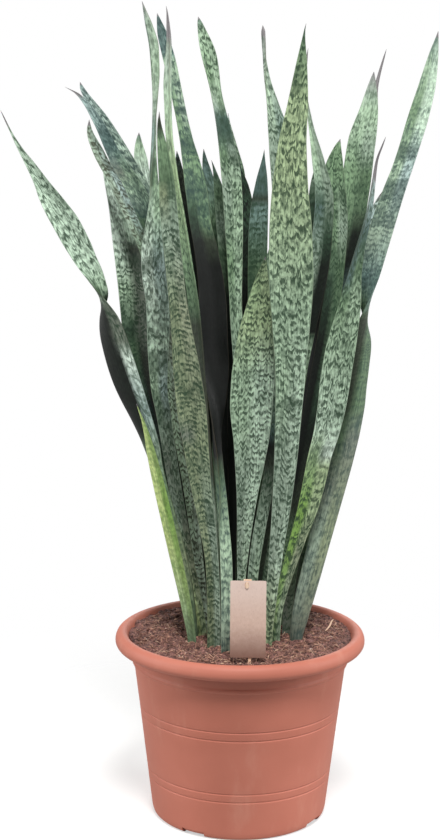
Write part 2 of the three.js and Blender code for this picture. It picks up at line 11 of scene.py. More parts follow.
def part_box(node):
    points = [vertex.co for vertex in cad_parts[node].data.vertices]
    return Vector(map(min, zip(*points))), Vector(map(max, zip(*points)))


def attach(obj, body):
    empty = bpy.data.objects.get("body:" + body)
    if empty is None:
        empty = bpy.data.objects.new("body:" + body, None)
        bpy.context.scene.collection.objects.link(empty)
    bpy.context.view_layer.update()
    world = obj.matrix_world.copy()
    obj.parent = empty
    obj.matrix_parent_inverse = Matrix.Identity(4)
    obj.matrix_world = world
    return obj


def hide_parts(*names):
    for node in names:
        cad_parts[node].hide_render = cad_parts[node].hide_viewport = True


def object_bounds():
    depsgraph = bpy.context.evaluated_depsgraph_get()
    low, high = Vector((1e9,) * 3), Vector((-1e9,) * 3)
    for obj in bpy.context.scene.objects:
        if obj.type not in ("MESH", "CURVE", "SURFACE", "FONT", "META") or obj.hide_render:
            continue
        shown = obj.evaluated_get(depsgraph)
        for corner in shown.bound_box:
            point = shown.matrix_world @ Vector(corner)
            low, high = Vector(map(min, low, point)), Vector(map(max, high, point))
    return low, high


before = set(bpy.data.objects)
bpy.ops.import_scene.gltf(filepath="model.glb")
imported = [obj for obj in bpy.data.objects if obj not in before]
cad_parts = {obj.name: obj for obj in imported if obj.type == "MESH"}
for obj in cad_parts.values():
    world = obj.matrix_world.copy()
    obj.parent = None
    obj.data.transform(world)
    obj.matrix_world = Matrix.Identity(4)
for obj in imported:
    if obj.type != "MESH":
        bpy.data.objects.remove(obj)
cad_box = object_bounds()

MM = 0.001
PHOTO_HEIGHT = 840  # pixels, the long side of the photograph
SENSOR = 36.0  # millimetres along the long side

# Where the photograph was taken from: place in metres, angles in degrees, focal length in pixels
VIEW = {"place": (0.0, -1.779, 0.745), "pitch": 9.93, "roll": 0.32, "yaw": -0.74, "focal": 1700.0}

# The pot, in millimetres; its rim radius and height come from the frame
WALL = 2.6
POT_SIDES = 192
BODY_LOW_R = 95.2
BODY_TOP_R = 114.7
FOOT_EDGE = 7.0
RIDGE_Z = 171.0
RIDGE_PROUD = 2.2
NECK_R = 115.7
RIM_IN_R = 122.0
RIM_DROP = 16.9  # from the top of the pot down to the lower edge of the rim's skirt
INSIDE_BEND = 181.5
INSIDE_DROP = 3.0  # from the top of the pot down to the rim's inner edge
GROOVES = (44.6, 53.8, 114.8, 124.3)
GROOVE_DEPTH = 0.8
GROOVE_HALF = 1.1

# The drain channels under the pot's floor
CHANNELS = 4
CHANNEL_FIRST = -121.0
CHANNEL = {"width": 27.0, "height": 6.5, "start": 38.0, "end": 115.0}
DRAIN_HOLE = {"r": 5.0, "places": (54.0, 76.0), "sides": 32}

# The world's brightness where it lights a surface, and where it is mirrored in one
SOFT_LIGHT = 0.14
SHEEN_LIGHT = 0.6

# The lamps' places in metres, diameters and watts, and the point that all of them aim at
LAMPS = {
    "key": ((0.15, -1.45, 2.35), 0.7, 62.0),
    "left_side": ((-2.2, -0.3, 1.0), 1.4, 36.0),
    "right_side": ((2.2, -0.3, 1.0), 1.4, 36.0),
    "behind": ((0.4, 2.3, 1.5), 1.8, 20.0),
}
AIM = (0.0, 0.0, 0.42)
FLOOR_REACH = 3.0  # metres from the pot's axis to the floor's sides

# The soil
SOIL_Z = 199.0
SOIL_FLAT_R = 95.0
SOIL_SLOPE = 25.0  # how far out from there it comes down by the drop
SOIL_DROP = 1.0
SOIL_GAP = 0.35
SOIL_LUMPS = ((11.0, 1.6), (5.2, 1.9), (2.6, 1.5))  # widths and heights, the last only upwards
SOIL_SIDES, SOIL_RINGS = 440, 80

# What lies on it
FIBRES, CRUMBS, GRIT = (1100, 6.0), (1500, 3.0), (26, 8.0)  # how many, and how far in from the edge
FRONT_CHIPS = ((-17.5, -108.0), (-14.0, -108.5), (1.0, -109.0))  # pale chips of wood
TWIG = ((92.5, 0.5), (104.5, 42.5))  # where the dry twig's ends lie
TWIG_Z = 202.0

# A leaf's shape
LEVEL_GAP = 0.1  # the frame's sections lie further apart than this
SHOULDER_ACROSS = 0.55  # where the shoulders of the frame's leaves stand, as a share of the half width
BLADE_STEP = 3.4  # distance between stations up a leaf
FEWEST_STATIONS = 24
TIP_CROWDING = 1.12  # how much closer the stations lie towards the tip
TIP_HALF = 0.15  # half width of the tip, and the least anywhere
TIP_THICK = 0.25
FACE_POINTS = 13  # points across one face of a leaf, both margins counted
FOLDED_FROM = 0.4  # a channel deeper than this share of the half width is a fold
FOLD_POWER, CHANNEL_POWER, BACK_POWER = 1.15, 1.6, 2.3  # roundness of a fold, a channel and a back
RIPPLES = ((150.0, 0.05), (64.0, 0.022), (31.0, 0.008))  # wavelengths and sizes of the margins' waves
RIPPLE_POWER = 2.5  # how closely the waves keep to the margins
RIPPLE_HALF = 14.0  # the half width from which on they grow no more

# A leaf's colours
DARKEST_SHARE = 0.5  # a leaf's marks reflect at most this share of what its ground does
FOOT_SHADE = ((199.0, 236.0), (0.62, 1.0))  # leaves are darker at their feet: heights, then factors
SPLIT_SHARPNESS = 3.0  # how sharply a leaf's right part starts
ZONE_SOFTNESS = 0.3  # share of a dark zone that each of its ends takes to fade
DRY_START = 1.3  # above 1, so that a dry tip is fully dry for a part of its length
LEAF_SHIFT = 977.0  # how far apart two leaves' patterns lie, so that no two are the same
FACE_SHIFT = 61.0  # how far apart the patterns on a leaf's two faces lie
EDGE_PALE = (0.9, 0.45)  # how far in a leaf's pale border ends, and how far it is full
EDGE_BROWN = (0.30, 0.10)  # the same for its brown edge


def srgb(red, green, blue):
    """A colour given as it is seen, 0 to 255, in the linear numbers that shaders take."""
    seen = np.array([red, green, blue]) / 255.0
    return tuple(np.where(seen <= 0.04045, seen / 12.92, ((seen + 0.055) / 1.055) ** 2.4))


def add_camera():
    pitch, roll, yaw = (math.radians(VIEW[name]) for name in ("pitch", "roll", "yaw"))
    ahead = Vector((math.cos(pitch) * math.sin(yaw), math.cos(pitch) * math.cos(yaw), -math.sin(pitch)))
    level = Vector((math.cos(yaw), -math.sin(yaw), 0.0))
    above = level.cross(ahead)
    right = level * math.cos(roll) + above * math.sin(roll)
    up = above * math.cos(roll) - level * math.sin(roll)
    data = bpy.data.cameras.new("camera")
    data.sensor_width = SENSOR
    data.lens = VIEW["focal"] * SENSOR / PHOTO_HEIGHT
    data.clip_start, data.clip_end = 0.05, 50.0
    camera = bpy.data.objects.new("camera", data)
    turn = Matrix((right, up, -ahead)).transposed().to_4x4()
    camera.matrix_world = Matrix.Translation(VIEW["place"]) @ turn
    bpy.context.scene.collection.objects.link(camera)
    bpy.context.scene.camera = camera


class Wire:
    """A socket of a material's nodes, so that shader maths is written as ordinary sums."""

    def __init__(self, finish, socket):
        self.finish, self.socket = finish, socket

    def maths(self, operation, *others):
        return self.finish.node("Math", {"operation": operation}, dict(enumerate((self, *others))))

    def __add__(self, other):
        return self.maths("ADD", other)

    __radd__ = __add__

    def __mul__(self, other):
        return self.maths("MULTIPLY", other)

    __rmul__ = __mul__

    def __sub__(self, other):
        return self.maths("SUBTRACT", other)

    def __rsub__(self, other):
        return self.finish.node("Math", {"operation": "SUBTRACT"}, {0: other, 1: self})

    def __truediv__(self, other):
        return self.maths("DIVIDE", other)

    def __abs__(self):
        return self.maths("ABSOLUTE")

    def fraction(self):
        return self.maths("FRACT")

    def rise(self, low, high):
        """0 below low, 1 above high, and smooth between them. With low above high it falls."""
        settings = {"interpolation_type": "SMOOTHSTEP"}
        return self.finish.node("MapRange", settings, {0: self, 1: low, 2: high})


class Finish:
    """A material, or the world round the object, and the calls that build its nodes."""

    def __init__(self, name, shelf="materials"):
        self.made = getattr(bpy.data, shelf).new(name)
        self.made.use_nodes = True
        self.tree = self.made.node_tree
        self.tree.nodes.clear()

    def node(self, kind, settings=(), sockets=(), out=0):
        """Adds a node: its settings are set first, then its sockets' values or links."""
        node = self.tree.nodes.new("ShaderNode" + kind)
        for name, value in dict(settings).items():
            setattr(node, name, value)
        for name, value in dict(sockets).items():
            self.feed(node.inputs[name], value)
        return Wire(self, node.outputs[out]) if node.outputs else None

    def feed(self, socket, value):
        if isinstance(value, Wire):
            self.tree.links.new(value.socket, socket)
        elif socket.type == "RGBA":
            socket.default_value = (*value[:3], 1.0)
        else:
            socket.default_value = value

    def mix(self, share, first, second):
        """The first colour at share 0, the second at share 1."""
        return self.node("Mix", {"data_type": "RGBA"}, {0: share, 6: first, 7: second}, out=2)

    def attribute(self, name):
        return self.node("Attribute", {"attribute_name": name}, (), "Vector")

    def parts(self, vector):
        node = self.node("SeparateXYZ", (), {0: vector}).socket.node
        return [Wire(self, socket) for socket in node.outputs]

    def vector(self, x, y, z):
        return self.node("CombineXYZ", (), {0: x, 1: y, 2: z})

    def noise(self, place, scale=1.0, detail=2.0, rough=0.5):
        sockets = {"Vector": place, "Scale": scale, "Detail": detail, "Roughness": rough}
        return self.node("TexNoise", (), sockets)

    def cells(self, place, scale):
        """The distance to the middle of the nearest of many scattered cells."""
        return self.node("TexVoronoi", (), {"Vector": place, "Scale": scale}, "Distance")

    def position(self):
        """The place on the object in metres, the same at every pose."""
        return self.node("TexCoord", (), (), "Object")

    def stretched(self, place, x, y, z):
        return self.node("VectorMath", {"operation": "MULTIPLY"}, {0: place, 1: (x, y, z)})

    def scaled(self, colour, by):
        """A colour made lighter or darker by a factor."""
        return self.node("VectorMath", {"operation": "SCALE"}, {0: colour, 3: by})

    def bump(self, height, distance, strength):
        return self.node("Bump", (), {"Height": height, "Distance": distance, "Strength": strength})

    def surface(self, **sockets):
        """Ends the material in one Principled shader with these sockets, named with _ for a space."""
        named = {name.replace("_", " "): value for name, value in sockets.items()}
        shader = self.node("BsdfPrincipled", (), named)
        self.node("OutputMaterial", (), {"Surface": shader})
        return self.made


def add_mesh(name, vertices, faces, material, smooth=True):
    """A new mesh object from vertices in metres."""
    mesh = bpy.data.meshes.new(name)
    mesh.from_pydata([tuple(v) for v in vertices], [], [tuple(f) for f in faces])
    mesh.polygons.foreach_set("use_smooth", [smooth] * len(mesh.polygons))
    mesh.materials.append(material)
    mesh.update()
    piece = bpy.data.objects.new(name, mesh)
    bpy.context.scene.collection.objects.link(piece)
    return piece


def add_attribute(piece, name, values):
    """Three numbers for each vertex, which a material reads by name."""
    made = piece.data.attributes.new(name, "FLOAT_VECTOR", "POINT")
    made.data.foreach_set("vector", np.asarray(values, np.float32).ravel())


def take_place_of(piece, node):
    """The piece stands for a CAD node and rides on the one body there is."""
    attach(piece, "root")
    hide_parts(node)


# Materials


def leaf_skin():
    """Waxy leaf skin: pale ground, jagged dark cross lines, broad dark zones, margins and dry tips."""
    skin = Finish("waxy_leaf_skin")
    across, along, side = skin.parts(skin.attribute("blade"))
    share, half, dry = skin.parts(skin.attribute("shape"))
    strength, zone, tooth = skin.parts(skin.attribute("marking"))
    period, bold, zigzag = skin.parts(skin.attribute("pattern"))
    # The ground colour holds the painted shade and painted light of the leaves' looks
    ground = skin.attribute("ground")
    ink = skin.attribute("ink")
    turns, _, _ = skin.parts(skin.attribute("turns"))
    along = along + side * FACE_SHIFT

    def grain(x, z, layer, detail=2.0, rough=0.5):
        """Noise over the skin with x and z lumps to a millimetre, across and along it."""
        return skin.noise(skin.vector(across * x, along * z, layer), detail=detail, rough=rough)

    corner = grain(0.07, 0.012, 1.0, 1.0)
    wander = grain(0.045, 0.020, 3.0, 1.0)
    jag = grain(0.42, 0.10, 5.0, 3.0, 0.65)
    swell = grain(0.11, 0.07, 9.0)
    cloud = grain(0.055, 0.05, 23.0, 3.0, 0.6)
    mottle = grain(0.34, 0.16, 29.0)
    fray = grain(1.2, 0.20, 13.0, 2.0, 0.6)
    streak = grain(0.8, 0.035, 19.0, 3.0, 0.6)

    scallop = (across / tooth + corner * 3.0).fraction() * 2.0 - 1.0
    bowl = 1.0 - scallop * scallop
    phase = turns + (side * FACE_SHIFT + bowl * zigzag) / period + jag * 1.4 + wander * 2.8
    rising = phase.fraction()
    edge = 1.0 - bold * (swell * 2.0 + cloud * 1.4 - 0.72) + (fray - 0.5) * 0.5 + (streak - 0.5)
    line = rising.rise(edge - 0.22, edge + 0.14) * rising.rise(1.0, 0.90)
    broken = grain(0.20, 0.11, 17.0).rise(0.38, 0.56)
    line = line * (0.15 + broken * 0.85) * strength

    shadow = (cloud * 0.65 + mottle * 0.35 + (streak - 0.5) * 0.5).rise(0.55, 0.36)
    ragged = (cloud - 0.5) * 2.2 + (wander - 0.5) * 1.2 + (jag - 0.5) + (streak - 0.5) * 0.6
    patch = (zone + ragged).rise(0.36, 0.60) * zone.rise(0.02, 0.2)
    shade = (0.56 + streak) * (0.88 + mottle.rise(0.36, 0.62) * 0.28)
    tint = skin.scaled(ground, shade)
    tint = skin.mix(shadow * 0.58, tint, skin.scaled(ink, 1.3))
    tint = skin.mix(patch * 0.90, tint, skin.scaled(skin.mix(1.0 - mottle * 0.6, ground, ink), shade))
    tint = skin.mix(line * 0.88, tint, skin.scaled(ink, 0.6 + fray * 0.8))

    from_edge = (1.0 - abs(share)) * half
    tint = skin.mix(from_edge.rise(*EDGE_PALE) * 0.28, tint, skin.scaled(ground, 1.25))
    tint = skin.mix(from_edge.rise(*EDGE_BROWN) * 0.35, tint, srgb(96, 86, 68))
    dryness = (dry + (cloud - 0.5) * 0.5 + (fray - 0.5) * 0.3).rise(0.30, 0.70)
    tint = skin.mix(dryness, tint, skin.mix(streak, srgb(74, 70, 74), srgb(148, 144, 144)))

    height = streak * 0.8 + fray * 0.2 - line * 0.15
    wax = grain(0.06, 0.03, 37.0)
    return skin.surface(
        Base_Color=tint,
        Roughness=0.36 + wax * 0.14 + fray * 0.08 + dryness * 0.2,
        Specular_IOR_Level=0.24,
        Coat_Weight=0.06,
        Coat_Roughness=0.3,
        Normal=skin.bump(height, 0.0006, 0.5),
    )


def terracotta_plastic():
    """Matte moulded plastic with a faint cloudiness, rubbed dust and fine scuffs."""
    plastic = Finish("terracotta_plastic")
    place = plastic.position()
    cloud = plastic.noise(place, 9.0, 3.0, 0.55)
    dust = plastic.noise(plastic.stretched(place, 1.0, 1.0, 0.35), 34.0, 4.0, 0.6)
    grain = plastic.noise(place, 900.0, 2.0)
    scuff = plastic.noise(plastic.stretched(place, 1.0, 1.0, 6.0), 26.0, 5.0, 0.7)
    tint = plastic.mix(cloud.rise(0.3, 0.7), srgb(179, 106, 87), srgb(189, 114, 95))
    tint = plastic.mix(dust.rise(0.52, 0.78) * 0.30, tint, srgb(206, 150, 130))
    tint = plastic.mix(scuff.rise(0.66, 0.80) * 0.22, tint, srgb(150, 84, 66))
    return plastic.surface(
        Base_Color=tint,
        Roughness=0.48 + dust * 0.16 + scuff * 0.05,
        Specular_IOR_Level=0.4,
        Normal=plastic.bump(grain * 0.6 + scuff * 0.4, 0.0002, 0.35),
    )


def coir_soil():
    """Damp reddish-brown coir, paler and redder on its crumbs, and dark in its hollows from its own darker
    tone together with painted shade.
    """
    soil = Finish("coir_soil")
    place = soil.position()
    crumbs = soil.noise(place, 260.0, 4.0, 0.65)
    clumps = soil.noise(place, 55.0, 3.0, 0.6)
    shred = soil.cells(soil.stretched(place, 1.0, 1.0, 0.4), 420.0)
    # Near black where the crumbs' bump is low: the coir's own darker tone together with painted shade in the
    # hollows
    tint = soil.mix(crumbs.rise(0.34, 0.68), srgb(44, 28, 27), srgb(142, 100, 92))
    tint = soil.mix(clumps.rise(0.45, 0.72) * 0.5, tint, srgb(86, 58, 53))
    tint = soil.mix(shred.rise(0.42, 0.15) * 0.4, tint, srgb(190, 150, 134))
    return soil.surface(
        Base_Color=tint,
        Roughness=0.86 - clumps * 0.12,
        Specular_IOR_Level=0.25,
        Normal=soil.bump(crumbs + shred * 0.5, 0.0012, 0.8),
    )


def coir_strands():
    """Loose fibres and chips of husk, each with a tone of its own."""
    husk = Finish("coir_strands")
    place = husk.position()
    tone, age, _ = husk.parts(husk.attribute("tone"))
    streak = husk.noise(place, 700.0, 3.0, 0.6)
    tint = husk.mix(tone, srgb(84, 50, 43), srgb(196, 150, 128))
    tint = husk.mix(age.rise(0.75, 0.95), tint, srgb(214, 182, 156))
    tint = husk.mix(streak.rise(0.4, 0.7) * 0.5, tint, husk.mix(0.5, tint, srgb(52, 33, 29)))
    return husk.surface(
        Base_Color=tint,
        Roughness=0.78 + streak * 0.1,
        Specular_IOR_Level=0.3,
        Normal=husk.bump(streak, 0.0003, 0.6),
    )


def pale_grit():
    grit = Finish("pale_grit")
    pores = grit.noise(grit.position(), 1500.0, 3.0, 0.6)
    tint = grit.mix(pores.rise(0.4, 0.7), srgb(232, 218, 206), srgb(190, 165, 150))
    return grit.surface(
        Base_Color=tint, Roughness=0.7 + pores * 0.15, Normal=grit.bump(pores, 0.0003, 0.6)
    )


def kraft_card():
    """Kraft board: long pulp fibres, a darker lower edge, and painted light that makes it paler towards its
    top.
    """
    card = Finish("kraft_card")
    place = card.position()
    _, _, height = card.parts(place)
    low, high = (corner.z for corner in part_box("label_card"))
    fibres = card.noise(card.stretched(place, 1.0, 1.0, 0.28), 1300.0, 4.0, 0.65)
    pulp = card.noise(place, 240.0, 3.0, 0.6)
    rubbed = card.noise(place, 60.0, 3.0)
    # Darker towards the lower edge, unevenly
    darker_foot = (height + (rubbed - 0.5) * 0.012).rise(low + 0.040, low - 0.004)
    # Painted light: paler towards the top, as light from above leaves it
    painted_top_light = height.rise(low + 0.035, high)
    tint = card.mix(pulp.rise(0.2, 0.8), srgb(208, 178, 162), srgb(218, 190, 175))
    tint = card.mix(painted_top_light * 0.6, tint, srgb(236, 216, 206))
    tint = card.mix(fibres.rise(0.56, 0.74) * 0.35, tint, srgb(132, 94, 72))
    tint = card.mix(fibres.rise(0.40, 0.28) * 0.35, tint, srgb(232, 212, 196))
    tint = card.mix(darker_foot * 0.85, tint, srgb(112, 74, 60))
    return card.surface(
        Base_Color=tint,
        Roughness=0.78 + pulp * 0.12,
        Specular_IOR_Level=0.25,
        Normal=card.bump(fibres * 0.6 + pulp * 0.4, 0.00025, 0.5),
    )


def cream_plastic():
    """Cheap cream plastic of the pick, scratched lengthwise."""
    plastic = Finish("cream_plastic")
    place = plastic.position()
    scratch = plastic.noise(plastic.stretched(place, 1.0, 1.0, 0.06), 1600.0, 3.0)
    cloud = plastic.noise(place, 160.0, 2.0)
    tint = plastic.mix(cloud.rise(0.35, 0.7), srgb(232, 196, 164), srgb(240, 214, 190))
    tint = plastic.mix(scratch.rise(0.58, 0.75) * 0.3, tint, srgb(196, 150, 120))
    return plastic.surface(
        Base_Color=tint,
        Roughness=0.36 + scratch * 0.2,
        Normal=plastic.bump(scratch, 0.0001, 0.5),
    )


def pale_floor():
    """A plain pale floor that fades into the backdrop away from the pot."""
    floor = Finish("pale_floor")
    place = floor.position()
    grain = floor.noise(place, 4.0, 2.0)
    seen = floor.node("LightPath", (), (), "Is Camera Ray")
    near = floor.node("BsdfPrincipled", (), {
        "Base Color": floor.mix(grain, (0.50, 0.50, 0.49), (0.54, 0.54, 0.53)),
        "Roughness": 0.8,
        "Specular IOR Level": 0.1,
        "Emission Color": floor.mix(seen, (0.0, 0.0, 0.0), (1.0, 1.0, 1.0)),
        "Emission Strength": 0.5,
    })
    clear = floor.node("BsdfTransparent")
    away = floor.node("VectorMath", {"operation": "LENGTH"}, {0: place}, "Value")
    mixed = floor.node("MixShader", (), {0: away.rise(0.22, 0.75), 1: near, 2: clear})
    floor.node("OutputMaterial", (), {"Surface": mixed})
    return floor.made


# Leaves


def read_section(points):
    """Middle, half width, direction, channel depth and thickness of a level section of six points."""
    best = None
    for pair in combinations(range(6), 2):
        first, second = points[list(pair)]
        half = np.linalg.norm(second - first) / 2
        along = (second - first) / (2 * half)
        others = np.delete(points, pair, axis=0) - (first + second) / 2
        across = others @ along / half
        order = np.argsort(across)
        wanted = np.array([-SHOULDER_ACROSS, 0.0, 0.0, SHOULDER_ACROSS])
        miss = np.abs(across[order] - wanted).max()
        if best is None or miss < best[0]:
            best = (miss, half, along, (first + second) / 2, others[order[1:3]])
    _, half, along, chord, middles = best
    normal = np.array([-along[1], along[0]])
    depths = middles @ normal
    front, back = sorted(depths, key=abs)
    if back < 0:
        along, normal, front, back = -along, -normal, -front, -back
    middle = chord + normal * back / 2
    return [*middle, half, math.atan2(along[1], along[0]), max(front, 0.0), back - max(front, 0.0)]


def read_blade(node):
    """A leaf's sections from its foot to its tip, as heights and rows of section values."""
    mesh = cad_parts[node].data
    points = np.empty(len(mesh.vertices) * 3, np.float32)
    mesh.vertices.foreach_get("co", points)
    points = np.unique(np.round(points.reshape(-1, 3).astype(float) / MM, 2), axis=0)
    points = points[np.argsort(points[:, 2])]
    breaks = np.flatnonzero(np.diff(points[:, 2]) > LEVEL_GAP) + 1
    heights, rows = [], []
    for level in np.split(points, breaks):
        if len(level) == 6:
            heights.append(level[:, 2].mean())
            rows.append(read_section(level[:, :2]))
    tip = points[-1]
    rows.append([tip[0], tip[1], TIP_HALF, rows[-1][3], 0.0, TIP_THICK])
    heights.append(tip[2])
    rows = np.array(rows)
    rows[:, 3] = np.unwrap(rows[:, 3])
    return np.array(heights), rows


def eased(knots, values, places):
    """Rows of values at places, on smooth curves through the knots that never overshoot them."""
    steps = np.diff(knots)[:, None]
    slopes = np.diff(values, axis=0) / steps
    before, after = slopes[:-1], slopes[1:]
    near, far = 2 * steps[1:] + steps[:-1], steps[1:] + 2 * steps[:-1]
    same = before * after > 0
    safe_before, safe_after = np.where(same, before, 1.0), np.where(same, after, 1.0)
    inner = np.where(same, (near + far) / (near / safe_before + far / safe_after), 0.0)
    tangents = np.vstack([slopes[:1], inner, slopes[-1:]])
    i = np.clip(np.searchsorted(knots, places) - 1, 0, len(steps) - 1)
    step = steps[i]
    t = (places - knots[i])[:, None] / step
    rest = 1 - t
    ends = values[i] * (1 + 2 * t) * rest**2 + values[i + 1] * (3 - 2 * t) * t**2
    return ends + step * t * rest * (tangents[i] * rest - tangents[i + 1] * t)


PALETTE = {
    "frost": srgb(204, 220, 206),
    "pale": srgb(184, 206, 184),
    "sage": srgb(162, 186, 158),
    "celery": srgb(170, 190, 148),
    "fresh": srgb(152, 176, 134),
    "lemon": srgb(188, 204, 136),
    "lime": srgb(138, 164, 100),
    "grass": srgb(126, 162, 84),
    "vivid": srgb(108, 140, 86),
    "leaf": srgb(118, 144, 112),
    "mist": srgb(158, 178, 174),
    "grey": srgb(146, 164, 146),
    "blue": srgb(112, 136, 130),
    "slate": srgb(78, 98, 94),
    "olive": srgb(132, 144, 114),
    "khaki": srgb(150, 158, 132),
    "moss": srgb(88, 110, 84),
    "stone": srgb(110, 118, 106),
    "deep": srgb(52, 72, 56),
    # dusk, black and night stand mostly for painted shade, not for the leaves' own colour
    "dusk": srgb(52, 60, 48),
    "black": srgb(20, 26, 21),
    "night": srgb(10, 13, 11),
    "mauve": srgb(128, 124, 128),
    "ink": srgb(44, 66, 48),
    "soft": srgb(70, 94, 70),
    "bark": srgb(54, 58, 42),
    "steel": srgb(42, 64, 62),
}
